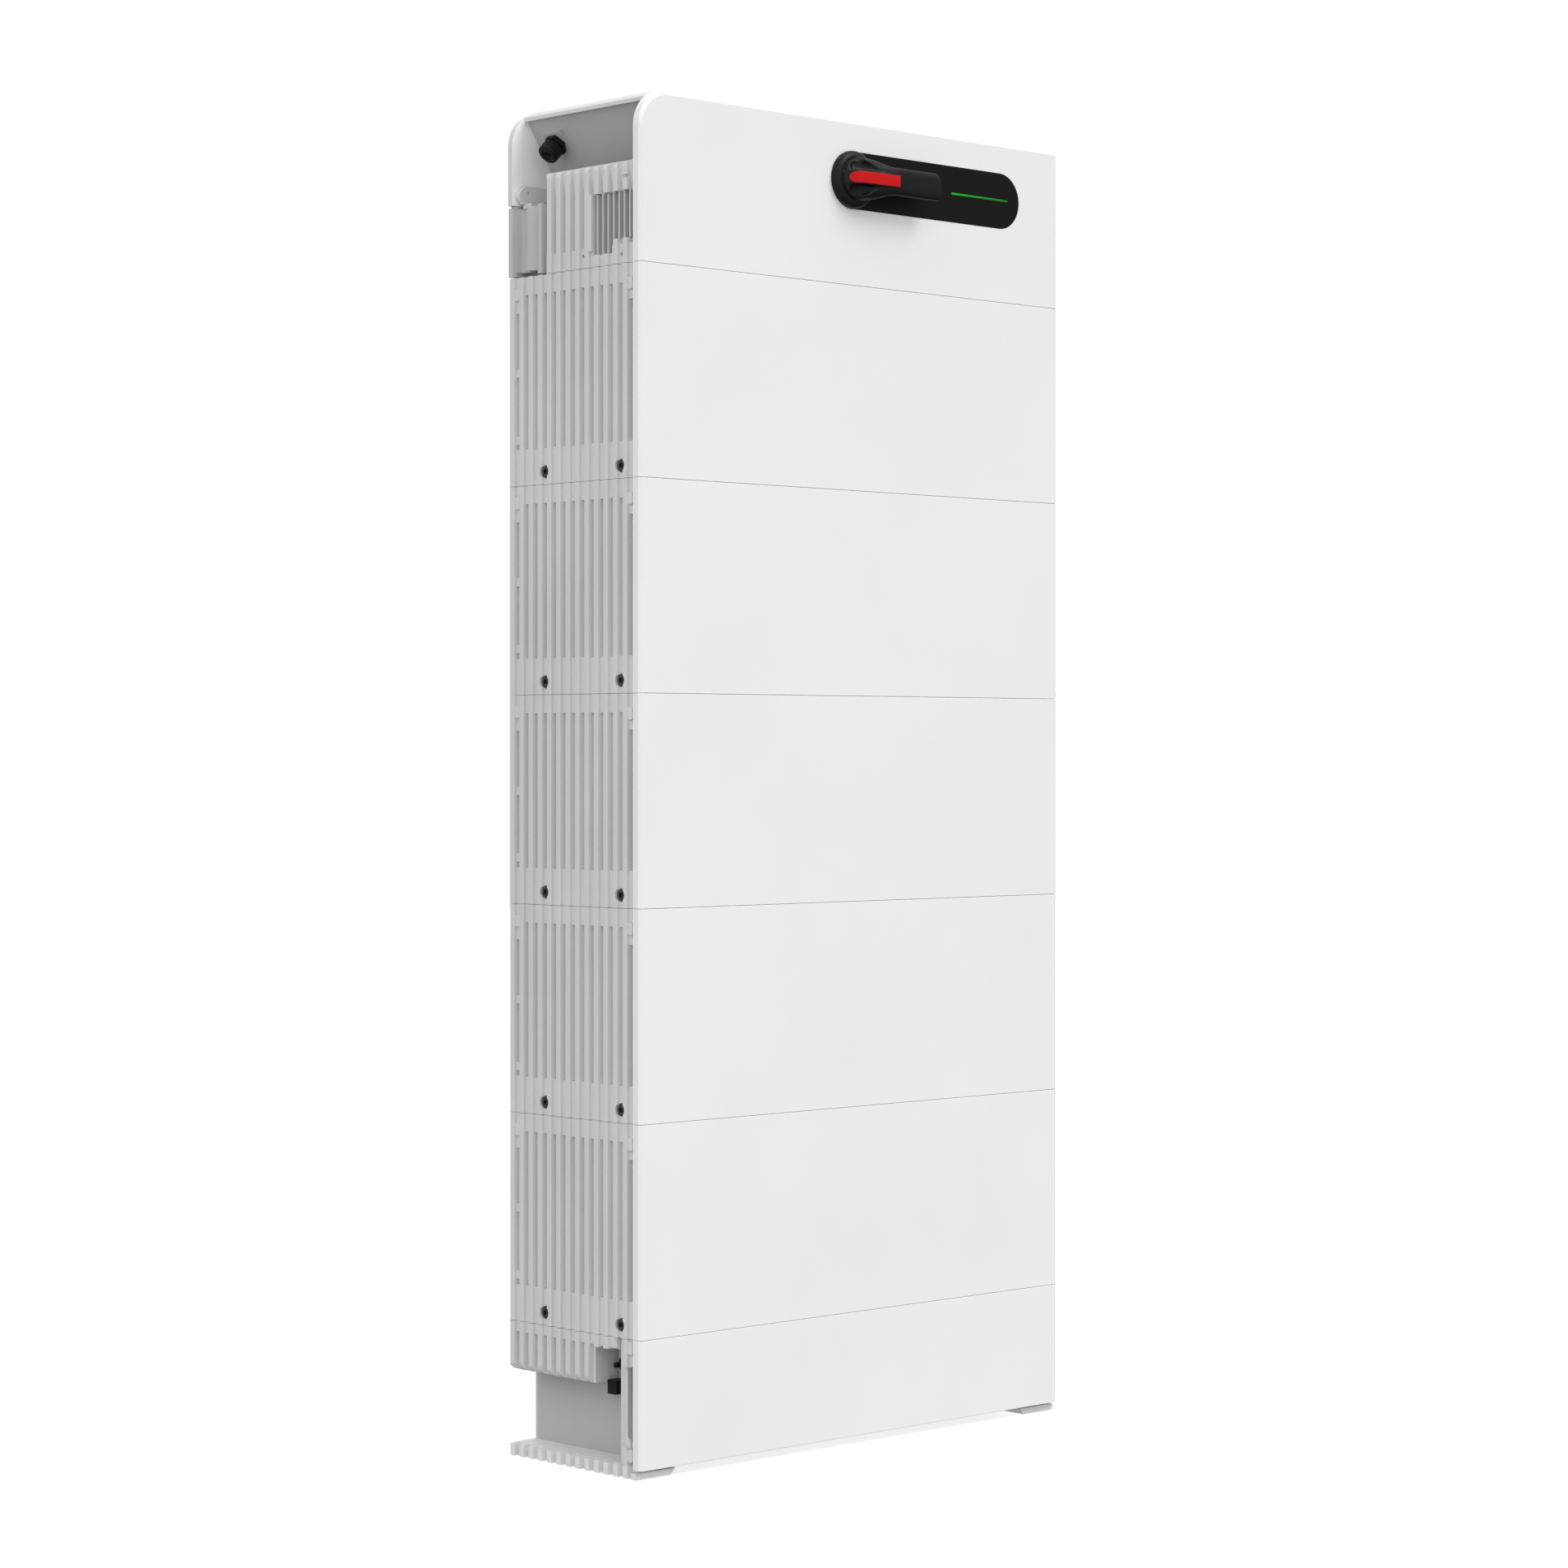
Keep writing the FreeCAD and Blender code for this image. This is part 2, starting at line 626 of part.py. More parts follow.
def stack_socket(z):
    """Socket over the opening in the floor of the upper unit."""
    floor = floor_of(z)
    gap = 0.5
    body = block(-PLUG_HALF_X - 8, PLUG_HALF_X + 8, PLUG_Y - PLUG_HALF_Y - 7, PLUG_Y + PLUG_HALF_Y + 7,
                 floor, z + 32)
    cavity = block(-PLUG_HALF_X - gap, PLUG_HALF_X + gap, PLUG_Y - PLUG_HALF_Y - gap,
                   PLUG_Y + PLUG_HALF_Y + gap, floor, z + 22)
    blades = [block(x - 2, x + 2, PLUG_Y - 6, PLUG_Y + 6, z + 9, z + 24) for x in CONTACT_X]
    return joined(body.cut(cavity), blades)


def locating_dowels(z):
    """Four chamfered pins that register a unit on the one below."""
    pins = []
    for x in (-DOWEL_X, DOWEL_X):
        for y in DOWEL_Y:
            pin = rod(DOWEL_RADIUS, (x, y, z - DOWEL_LENGTH / 2), Z_AXIS, DOWEL_LENGTH)
            pins.append(pin.makeChamfer(1.2, edges_on_plane(pin, "Z", z + DOWEL_LENGTH / 2)))
    return pins


# ---------------------------------------------------------------- header enclosure

def hood_form(inset, y0, rear, bottom, radius):
    """Header's outline carried back, with its top rear edge rounded over."""
    form = prism_y(header_outline(inset, bottom), y0, rear)
    roll = prism_x([(y0, bottom, 0), (rear, bottom, 0), (rear, TOP - inset, radius), (y0, TOP - inset, 0)],
                   -HALF_W, HALF_W)
    return form.common(roll)


def hood_room(inset, rear):
    """Space under the hood, an inset in from its outside, with the hood's rounded rear corner."""
    radius = SHELL_REAR_RADIUS - SHELL_REAR_WALL + SHELL_SKIN - inset
    return hood_form(inset, SHELL_FRONT - 1, rear, LOW_HEADER, radius)


def header_shell():
    """Hood over the top and rear, open at both sides so that cables can come out."""
    envelope = hood_form(0, SHELL_FRONT, BODY_DEPTH, SHELL_BOTTOM, SHELL_REAR_RADIUS)
    inside = hood_room(SHELL_SKIN, BODY_DEPTH - SHELL_REAR_WALL)
    side_cut = side_block(-1, SHELL_SIDE_CUT, SHELL_FRONT - 1, BODY_DEPTH - SHELL_REAR_WALL,
                          SHELL_BOTTOM - 10, TOP + 1)
    return envelope.cut([inside] + both(side_cut))


def chassis_profile(inset):
    """Upper body of the header in (X, Z): its flanks lean out above the ribs, under the hood."""
    shelf = CHASSIS_SHELF - inset
    left = [(RECESS_DEPTH + inset, LOW_HEADER + inset, 0), (RECESS_DEPTH + inset, shelf, 0),
            (FLANK_FOOT_DEPTH + inset, shelf, 0), (FLANK_TOP_DEPTH + inset, FLANK_TOP_Z - inset * 0.4, 2),
            (50 + inset * 0.5, 1741.5 - inset, 14)]
    corners = [(side(depth), z, radius) for depth, z, radius in left]
    return corners + [(-x, z, radius) for x, z, radius in reversed(corners)]


def gland_axis():
    """Outward direction of the left gland: down and out at 45 degrees."""
    return Vector(-math.sqrt(0.5), 0, -math.sqrt(0.5))


def gland_rod(radius, start, length):
    """Cylinder on the left gland's axis, from a distance along it."""
    return Part.makeCylinder(radius, length, gland_point(start), gland_axis())


def gland_point(along, radius=0.0, angle=0.0):
    """Point round the left gland's axis, with the angle in degrees from +Y."""
    axis = gland_axis()
    centre = Vector(side(GLAND_DEPTH), front(GLAND_Y), GLAND_Z) + axis * along
    turn = math.radians(angle)
    return centre + Y_AXIS * (radius * math.cos(turn)) + axis.cross(Y_AXIS) * (radius * math.sin(turn))


def gland_prism(radius, corner_count, start, length, turn=0.0):
    """Regular prism on the left gland's axis."""
    step = 360.0 / corner_count
    corners = [gland_point(start, radius, turn + step * k) for k in range(corner_count + 1)]
    return Part.Face(Part.makePolygon(corners)).extrude(gland_axis() * length)


def disc_boss():
    """Two-step round boss that stands on the left flank, square to its slope."""
    run = FLANK_FOOT_DEPTH - FLANK_TOP_DEPTH
    rise = FLANK_TOP_Z - CHASSIS_SHELF
    depth = FLANK_TOP_DEPTH + run * (FLANK_TOP_Z - DISC_BOSS_Z) / rise
    outward = Vector(-rise, 0, -run)
    outward.normalize()
    middle = Vector(side(depth), front(DISC_BOSS_Y), DISC_BOSS_Z) - outward * 2
    return joined(Part.makeCylinder(20, 4.0, middle, outward), [Part.makeCylinder(8, 6.0, middle, outward)])


def header_chassis():
    """Header's sealed box: a full-width lower part, leaning flanks above it, and bosses for the glands."""
    hood_clearance = SHELL_SKIN + HOOD_GAP
    lower_rear = HEADER_RIB_REAR - 0.5
    upper = prism_y(chassis_profile(0), CASE_FRONT, CHASSIS_REAR)
    upper = upper.common(hood_room(hood_clearance, CHASSIS_REAR))
    lower = block(-INNER_HALF, INNER_HALF, CASE_FRONT, lower_rear, LOW_HEADER, CHASSIS_SHELF)
    back = block(side(RECESS_DEPTH), -side(RECESS_DEPTH), CHASSIS_REAR - 1, BODY_DEPTH,
                 LOW_HEADER, SHELL_BOTTOM - 0.5)
    bosses = both(gland_prism(24, 4, -14, 14, 45))
    bosses += both(disc_boss())
    body = joined(upper, [lower, back] + bosses)
    room = prism_y(chassis_profile(CASE_WALL), CASE_FRONT - 1, CHASSIS_REAR - CASE_WALL)
    room = room.common(hood_room(hood_clearance + CASE_WALL, CHASSIS_REAR - CASE_WALL))
    lower_room = block(-INNER_HALF + CASE_WALL, INNER_HALF - CASE_WALL, CASE_FRONT - 1,
                       lower_rear - CASE_WALL, LOW_HEADER + CASE_WALL, CHASSIS_SHELF - CASE_WALL)
    cutters = [room, lower_room] + interface_holes(STACK_TOP)
    cutters += both(gland_rod(GLAND_THREAD_RADIUS + 0.1, -40, 60))
    cutters += [rod(WALL_HOLE_RADIUS, (x, BODY_DEPTH - WALL_HOLE_DEPTH, WALL_HOLE_Z), Y_AXIS,
                    WALL_HOLE_DEPTH + 1) for x in (-WALL_HOLE_X, WALL_HOLE_X)]
    return body.cut(cutters)


def header_lid():
    """Lid of the header's sealed box, with a hole for the isolator's shaft."""
    lower = block(-INNER_HALF, INNER_HALF, LID_FRONT, LID_FRONT + LID_THICKNESS, LOW_HEADER, CHASSIS_SHELF)
    upper = prism_y(chassis_profile(0), LID_FRONT, LID_FRONT + LID_THICKNESS)
    hole = rod(SHAFT_RADIUS + 1, (HUB_X, LID_FRONT - 1, PANEL_CENTRE_Z), Y_AXIS, LID_THICKNESS + 2)
    return joined(lower, [upper]).cut(hole)


def header_gasket():
    """Seal behind the header's lid, of the same outline."""
    y0 = LID_FRONT + LID_THICKNESS
    outer = joined(block(-INNER_HALF, INNER_HALF, y0, CASE_FRONT, LOW_HEADER, CHASSIS_SHELF),
                   [prism_y(chassis_profile(0), y0, CASE_FRONT)])
    inner = joined(block(-INNER_HALF + CASE_WALL, INNER_HALF - CASE_WALL, y0 - 1, CASE_FRONT + 1,
                         LOW_HEADER + CASE_WALL, CHASSIS_SHELF - CASE_WALL),
                   [prism_y(chassis_profile(CASE_WALL), y0 - 1, CASE_FRONT + 1)])
    return outer.cut(inner)


def header_side_ribs():
    """Ribbed flank of the header with a stepped window over the fins; its grooves fade out upwards."""
    low = LOW_HEADER
    ribs = rib_strip(SIDE_COVER_FRONT, HEADER_RIB_REAR, low, HEADER_RIB_TOP, skip=(0, 1, 2, 3))
    web = filler(SIDE_COVER_FRONT, HEADER_RIB_REAR, low, low + 25)
    rounded = prism_y([(side(0), low - 1, 0), (side(0), HEADER_RIB_TOP, 10),
                       (side(SIDE_COVER_THICKNESS), HEADER_RIB_TOP, 0),
                       (side(SIDE_COVER_THICKNESS), low - 1, 0)], SIDE_COVER_FRONT, HEADER_RIB_REAR)
    fade = prism_y([(side(GROOVE_DEPTH), GROOVE_FADE_Z, 0), (side(SIDE_COVER_THICKNESS), GROOVE_FADE_Z, 0),
                    (side(SIDE_COVER_THICKNESS), HEADER_RIB_TOP, 0),
                    (side(GROOVE_FADE_DEPTH), HEADER_RIB_TOP, 0)], SIDE_COVER_FRONT, HEADER_RIB_REAR)
    window = side_block(-1, SIDE_COVER_THICKNESS + 1, SIDE_COVER_FRONT + 2, WINDOW_REAR,
                        WINDOW_STEP, WINDOW_TOP)
    step = side_block(-1, SIDE_COVER_THICKNESS + 1, WINDOW_STEP_Y, WINDOW_REAR, WINDOW_LOW, WINDOW_STEP + 1)
    clip_notch = side_block(-1, 5, 24, 37, 1633, 1637)
    rear_strip = side_block(0, SIDE_COVER_THICKNESS, WINDOW_REAR, RIB_CENTRES[8], low + 20, WINDOW_TOP)
    low_screws = [rod(2.4, (side(0), y, low + h), X_AXIS, 10) for y, h in ((39.7, 12), (114.0, 16))]
    return joined(ribs, [web, fade, rear_strip]).common(rounded).cut([window, step, clip_notch] + low_screws)


def window_fins():
    """Finned insert that fills the window, set back from the rib crests."""
    y0 = SIDE_COVER_FRONT + 2 + WINDOW_GAP
    y1 = WINDOW_REAR - WINDOW_GAP
    top = WINDOW_TOP - WINDOW_GAP
    floor_depth = SIDE_COVER_THICKNESS - 1.5
    plate = side_block(floor_depth, SIDE_COVER_THICKNESS, y0, y1, WINDOW_STEP + WINDOW_GAP, top)
    low_plate = side_block(floor_depth, SIDE_COVER_THICKNESS, WINDOW_STEP_Y + WINDOW_GAP, y1,
                           WINDOW_LOW + WINDOW_GAP, WINDOW_STEP + 1)
    fins = []
    for k in range(FIN_COUNT):
        y = y1 - 7.0 - FIN_PITCH * k
        bottom = WINDOW_LOW if y - FIN_THICKNESS / 2 > WINDOW_STEP_Y else WINDOW_STEP
        fins.append(side_block(FIN_CREST_DEPTH, floor_depth + 0.5, y - FIN_THICKNESS / 2,
                               y + FIN_THICKNESS / 2, bottom + WINDOW_GAP, top))
    return joined(plate, [low_plate] + fins)


def header_rear_post():
    """Column behind the ribs: a rear flange, a deep groove, a rounded post and one more rib."""
    profile = [(RECESS_DEPTH - 0.5, BODY_DEPTH, 0), (RECESS_DEPTH - 0.5, POST_FRONT, 0), (12, POST_FRONT, 0),
               (12, 192, 1), (0, 194, 2), (0, 201, 2), (11, 203.5, 1), (11.5, 206.5, 1),
               (4, 220, 8), (4, 228, 2), (16, 231, 2), (16, 249, 5), (2, 254, 1.5),
               (0, BODY_DEPTH, 1)]
    post = prism_z(profile, STACK_TOP + 2, POST_TOP)
    rib_end = side_block(-1, 30, 180, 204.9, POST_TOP, WINDOW_TOP + 2)
    rib_top = prism_z(profile, STACK_TOP + 2, WINDOW_TOP).common(rib_end)
    lip = side_block(5, RECESS_DEPTH - 0.5, BODY_DEPTH - SHELL_REAR_WALL, BODY_DEPTH,
                     POST_TOP - 1, SHELL_BOTTOM - 0.5)
    foot_notch = side_block(2.5, 30, 205.5, 252.5, STACK_TOP, STACK_TOP + 8)
    dowel_hole = rod(DOWEL_RADIUS + RUNNING_CLEARANCE, (-DOWEL_X, DOWEL_Y[1], STACK_TOP), Z_AXIS, 10)
    return joined(post, [rib_top, lip]).cut([foot_notch, dowel_hole])


def shell_clip():
    """Upright tab with rounded shoulders that ties the hood's rear wall to the post."""
    plate = prism_y([(side(9), POST_TOP + 5, 1), (side(59), POST_TOP + 5, 1),
                     (side(59), TAB_TOP, 9), (side(9), TAB_TOP, 9)], TAB_FRONT, TAB_REAR)
    heel = prism_y(rectangle(side(14), side(59), POST_TOP, POST_TOP + 6), TAB_FRONT - 13, TAB_REAR)
    hub = rod(9, (side(14), TAB_FRONT, POST_TOP + 16), Y_AXIS, 8.5)
    hole = rod(2.5, (side(20), TAB_FRONT - 3, POST_TOP + 20), Y_AXIS, 5)
    return joined(plate, [heel, hub]).cut(hole)


def clip_screw():
    """Screw that stands on the tab's heel and holds it to the post."""
    return rod(4, (side(40), 236.5, POST_TOP + 6), Z_AXIS, 3.5)


# ---------------------------------------------------------------- control panel and isolator

def control_panel():
    """Glossy fascia with round ends, a clamping flange behind the cover and a bush for the shaft."""
    front_part = stadium(PANEL_CENTRE_X, PANEL_CENTRE_Z, PANEL_LENGTH, PANEL_HEIGHT, -PANEL_PROUD, COVER_WALL)
    front_part = front_part.makeFillet(0.7, edges_on_plane(front_part, "Y", front(-PANEL_PROUD)))
    flange = stadium(PANEL_CENTRE_X, PANEL_CENTRE_Z, PANEL_LENGTH + 12, PANEL_HEIGHT + 12,
                     COVER_WALL, PANEL_FLANGE_REAR)
    bush = rod(12, (HUB_X, COVER_WALL, PANEL_CENTRE_Z), Y_AXIS, 10)
    shaft_hole = rod(SHAFT_RADIUS + RUNNING_CLEARANCE, (HUB_X, -5, PANEL_CENTRE_Z), Y_AXIS, 30)
    light_slot = stadium(LIGHT_X, LIGHT_Z, LIGHT_LENGTH + 0.3, LIGHT_HEIGHT + 0.3, -5, 20)
    return joined(front_part, [flange, bush]).cut([shaft_hole, light_slot])


def status_light():
    """Light guide bar in the fascia."""
    return stadium(LIGHT_X, LIGHT_Z, LIGHT_LENGTH, LIGHT_HEIGHT, -PANEL_PROUD, PANEL_FLANGE_REAR)


def light_board():
    """Small board that lights the bar from behind."""
    back = PANEL_FLANGE_REAR + 1.6
    board = block(LIGHT_X - 62, LIGHT_X + 62, PANEL_FLANGE_REAR, back, LIGHT_Z - 9, LIGHT_Z + 9)
    connector = block(LIGHT_X + 40, LIGHT_X + 56, back, back + 4.4, LIGHT_Z - 5, LIGHT_Z + 5)
    return joined(board, [connector])


def isolator_handle():
    """Pistol grip on a round hub; at rest it points to the right."""
    z = PANEL_CENTRE_Z
    hub = rod(HUB_RADIUS, (HUB_X, HUB_FRONT, z), Y_AXIS, HUB_LENGTH)
    hub = hub.makeFillet(1.5, edges_on_plane(hub, "Y", front(HUB_FRONT)))
    dish = rod(HUB_RADIUS - 6, (HUB_X, HUB_FRONT - 1, z), Y_AXIS, 9)
    half = GRIP_HEIGHT / 2
    plan = prism_y([(HUB_X - 35, z - 10, 9.9), (HUB_X - 2, z - 10, 20), (HUB_X + 32, z - half, 30),
                    (HUB_X + GRIP_REACH, z - half, 7), (HUB_X + GRIP_REACH, z + half, 9),
                    (HUB_X + 32, z + half, 30), (HUB_X - 2, z + 10, 20), (HUB_X - 35, z + 10, 9.9)],
                   GRIP_FRONT - 1, HUB_FRONT + 12)
    profile = Part.Face(outline([
        (HUB_X - 36, HUB_FRONT, 0), (HUB_X - 14, MARKER_BEND_Y, 14), (HUB_X + 48, GRIP_FRONT + 0.4, 60),
        (HUB_X + GRIP_REACH, GRIP_FRONT, 5), (HUB_X + GRIP_REACH, GRIP_BACK, 3),
        (HUB_X + 42, GRIP_BACK, 10), (HUB_X + 30, HUB_FRONT + 12, 0), (HUB_X - 36, HUB_FRONT + 12, 0)],
        lambda p: Vector(p.x, front(p.y), z - 40))).extrude(Vector(0, 0, 80))
    grip = plan.common(profile)
    body = joined(hub.cut(dish), [grip])
    shaft_room = rod(SHAFT_RADIUS, (HUB_X, SHAFT_START, z), Y_AXIS, HUB_LENGTH)
    return body.cut([marker_shape(MARKER_GAP), shaft_room])


def marker_shape(extra):
    """Red bar let into the grip's face, round at the hub end and square at the other."""
    z = PANEL_CENTRE_Z
    half = MARKER_HEIGHT / 2 + extra
    x0 = HUB_X + MARKER_START - extra
    x1 = HUB_X + MARKER_END + extra
    plan = prism_y([(x0, z - half, half * 0.98), (x1, z - half, 0), (x1, z + half, 0),
                    (x0, z + half, half * 0.98)],
                   GRIP_FRONT - 1, HUB_FRONT + 6)
    lift = 0.4 + 20 * extra
    depth = 2.0 + extra
    profile = Part.Face(outline([
        (HUB_X - 38, HUB_FRONT - lift, 0), (HUB_X - 14, MARKER_BEND_Y - lift, 14),
        (x1 + 1, GRIP_FRONT + 0.4 - lift, 0),
        (x1 + 1, GRIP_FRONT + depth, 0), (HUB_X - 14, MARKER_BEND_Y + depth, 14),
        (HUB_X - 38, HUB_FRONT + depth, 0)],
        lambda p: Vector(p.x, front(p.y), z - 20))).extrude(Vector(0, 0, 40))
    return plan.common(profile)


def isolator_shaft():
    """Steel shaft from the handle's hub to the contact drum."""
    return rod(SHAFT_RADIUS, (HUB_X, SHAFT_START, PANEL_CENTRE_Z), Y_AXIS, SHAFT_END - SHAFT_START)


def isolator_rotor():
    """Drum with three moving contact bridges, on the end of the shaft."""
    drum = rod(15, (HUB_X, SHAFT_END, PANEL_CENTRE_Z), Y_AXIS, 32)
    bridges = [block(HUB_X - 19, HUB_X + 19, SHAFT_END + 4 + 10 * k, SHAFT_END + 7 + 10 * k,
                     PANEL_CENTRE_Z - 4, PANEL_CENTRE_Z + 4) for k in range(3)]
    return joined(drum, bridges)


def isolator_housing():
    """Fixed switch body round the drum, with its terminal studs on top."""
    z = PANEL_CENTRE_Z
    box = block(HUB_X - 32, HUB_X + 32, LID_FRONT + LID_THICKNESS, 104, z - 32, z + 32)
    chamber = rod(21, (HUB_X, SHAFT_END - 0.5, z), Y_AXIS, 33)
    shaft_hole = rod(SHAFT_RADIUS + RUNNING_CLEARANCE, (HUB_X, 10, z), Y_AXIS, 60)
    studs = [rod(3, (HUB_X + s * 24, 44 + 16 * k, z + 32), Z_AXIS, 7) for s in (-1, 1) for k in range(4)]
    return joined(box.cut([chamber, shaft_hole]), studs)


# ---------------------------------------------------------------- header internals

def power_board():
    """Main power board behind the isolator, with its heat spreader and terminal blocks."""
    board = block(-300, 300, BOARD_FRONT, BOARD_FRONT + 2, 1560, 1722)
    pillars = [rod(5, (x, BOARD_FRONT + 2, z), Y_AXIS, CHASSIS_REAR - CASE_WALL - BOARD_FRONT - 2)
               for x in (-285, 285) for z in (1575, 1660)]
    modules = [block(x, x + 80, BOARD_FRONT + 2, BOARD_FRONT + 20, 1640, 1700)
               for x in range(-250, 120, 120)]
    terminals = [block(x, x + 44, BOARD_FRONT - 24, BOARD_FRONT, 1562, 1584)
                 for x in range(-280, 210, 60)]
    return joined(board, pillars + modules + terminals)


def link_capacitors():
    """Row of can capacitors that stand on the board's front."""
    length = 48
    return [rod(16, (x, BOARD_FRONT - length, 1690), Y_AXIS, length) for x in range(-270, -100, 40)]


def power_chokes():
    """Toroidal chokes standing on the board."""
    core_radius = 20
    wire_radius = 12
    y = front(BOARD_FRONT - 18)
    return [Part.makeTorus(core_radius, wire_radius, Vector(x, y, 1660), Y_AXIS) for x in (120, 195, 270)]


def fan_frame(x):
    """Square fan body on four legs, with a cross of spokes that carries the motor and its pin."""
    half = FAN_SIZE / 2
    rear = FAN_FRONT + FAN_DEPTH
    back = rear - FAN_BACK
    box = block(x - half, x + half, FAN_FRONT, rear, FAN_Z - half, FAN_Z + half)
    box = box.makeFillet(4, [e for e in box.Edges if e.BoundBox.YLength > 1])
    tunnel = rod(half - 2.5, (x, FAN_FRONT - 1, FAN_Z), Y_AXIS, FAN_DEPTH + 2)
    motor = rod(15, (x, back, FAN_Z), Y_AXIS, FAN_BACK)
    spokes = [block(x - half + 1, x + half - 1, back, rear, FAN_Z - 2, FAN_Z + 2),
              block(x - 2, x + 2, back, rear, FAN_Z - half + 1, FAN_Z + half - 1)]
    pin = rod(FAN_PIN_RADIUS, (x, FAN_FRONT + 6, FAN_Z), Y_AXIS, back - FAN_FRONT - 6)
    legs = [rod(4, (x + sx * 34, rear, FAN_Z + sz * 34), Y_AXIS, CHASSIS_REAR - CASE_WALL - rear)
            for sx in (-1, 1) for sz in (-1, 1)]
    return joined(box.cut(tunnel), [motor, pin] + spokes + legs)


def fan_rotor(x):
    """Seven-bladed rotor that turns on the frame's pin."""
    depth = FAN_DEPTH - 2 * FAN_BACK
    rotor_front = FAN_FRONT + 2
    hub = rod(14, (x, rotor_front, FAN_Z), Y_AXIS, depth)
    bore = rod(FAN_PIN_RADIUS + RUNNING_CLEARANCE, (x, rotor_front + 3, FAN_Z), Y_AXIS, depth)
    blades = []
    root = FAN_Z + 13
    for k in range(BLADE_COUNT):
        blade = Part.makeBox(22, 2, 22, Vector(x - 11, front(rotor_front + 8.5), root))
        blade.rotate(Vector(x, front(rotor_front + 9.5), root), Z_AXIS, BLADE_PITCH_ANGLE)
        blade.rotate(Vector(x, front(FAN_FRONT), FAN_Z), Y_AXIS, 360.0 * k / BLADE_COUNT)
        blades.append(blade)
    sleeve = rod(36.5, (x, rotor_front, FAN_Z), Y_AXIS, depth)
    return joined(hub, blades).common(sleeve).cut(bore)


# ---------------------------------------------------------------- cable glands

def gland_body():
    """Threaded stub, hexagon and barrel that the nut screws onto."""
    thread = gland_rod(GLAND_THREAD_RADIUS, -12, 14)
    hexagon = gland_prism(15.5, 6, 1, 6)
    barrel = gland_rod(12, 7, GLAND_NUT_START - 7)
    bore = gland_rod(GLAND_BORE_RADIUS, -13, 40)
    return joined(thread, [hexagon, barrel]).cut(bore)


def gland_nut():
    """Domed nut with grip flutes round it."""
    nut = gland_rod(GLAND_NUT_RADIUS, GLAND_NUT_START, GLAND_NUT_LENGTH)
    tip = gland_point(GLAND_NUT_START + GLAND_NUT_LENGTH)
    nut = nut.makeFillet(3, [e for e in nut.Edges if (e.CenterOfMass - tip).Length < 1])
    bore = gland_rod(GLAND_BORE_RADIUS, GLAND_NUT_START - 1, GLAND_NUT_LENGTH + 5)
    flutes = []
    for k in range(GLAND_FLUTES):
        start = gland_point(GLAND_NUT_START + 1.5, GLAND_NUT_RADIUS + 0.6, 360 * k / GLAND_FLUTES)
        flutes.append(Part.makeCylinder(1.3, 9, start, gland_axis()))
    return nut.cut([bore] + flutes)


def gland_seal():
    """Rubber sleeve that grips the cable."""
    bore = gland_rod(CABLE_RADIUS, SEAL_START - 1, SEAL_LENGTH + 2)
    return gland_rod(GLAND_BORE_RADIUS, SEAL_START, SEAL_LENGTH).cut(bore)


# ---------------------------------------------------------------- base

def base_frame():
    """Sheet box that carries the stack, with a deck that reaches out to the side skirts."""
    deck_top = BASE_TOP - SEAM / 2
    deck_low = deck_top - CASE_WALL
    inner_half = HALF_W - BASE_BOX_DEPTH
    box = block(-inner_half, inner_half, CASE_FRONT, BODY_DEPTH, PLATE_TOP, deck_top)
    room = block(-inner_half + CASE_WALL, inner_half - CASE_WALL, CASE_FRONT + CASE_WALL,
                 BODY_DEPTH - CASE_WALL, PLATE_TOP - 1, deck_low)
    deck = block(-INNER_HALF, INNER_HALF, CASE_FRONT, BODY_DEPTH, deck_low, deck_top)
    gusset = side_block(SIDE_COVER_THICKNESS + 1, BASE_BOX_DEPTH + 1, 52, 55, 150, deck_low + 1)
    return joined(box.cut(room), [deck] + both(gusset)).cut(interface_holes(BASE_TOP))


def base_skirt():
    """Ribbed cover beside the deck, curled under at its lower edge."""
    top = BASE_TOP - SEAM / 2
    gap = 0.3
    inner = BASE_BOX_DEPTH - gap
    outer = SIDE_COVER_THICKNESS - 3
    under_deck = top - CASE_WALL - gap
    wall = rib_strip(SKIRT_FRONT, BODY_DEPTH, SKIRT_BOTTOM, top)
    strip = rib_strip(SKIRT_STRIP_FRONT, SKIRT_FRONT + 4, SKIRT_STRIP_BOTTOM, top)
    web = filler(SKIRT_STRIP_FRONT, BODY_DEPTH, top - 13.5, top)
    sole = side_block(outer, inner, SKIRT_FRONT, BODY_DEPTH, SKIRT_BOTTOM, SKIRT_BOTTOM + 4)
    nose = side_block(outer, inner, SKIRT_FRONT, SKIRT_FRONT + 5, SKIRT_BOTTOM, under_deck)
    tail = side_block(outer, inner, BODY_DEPTH - 5, BODY_DEPTH, SKIRT_BOTTOM, under_deck)
    body = joined(wall, [strip, web, sole, nose, tail])
    curl = prism_y([(side(0), SKIRT_BOTTOM, 11), (side(inner), SKIRT_BOTTOM, 0), (side(inner), top, 0),
                    (side(0), top, 0)], 40, BODY_DEPTH)
    rear_corner = prism_x([(40, SKIRT_BOTTOM, 0), (BODY_DEPTH, SKIRT_BOTTOM, 14), (BODY_DEPTH, top, 0),
                           (40, top, 0)], side(0), side(inner))
    return body.common(curl).common(rear_corner)


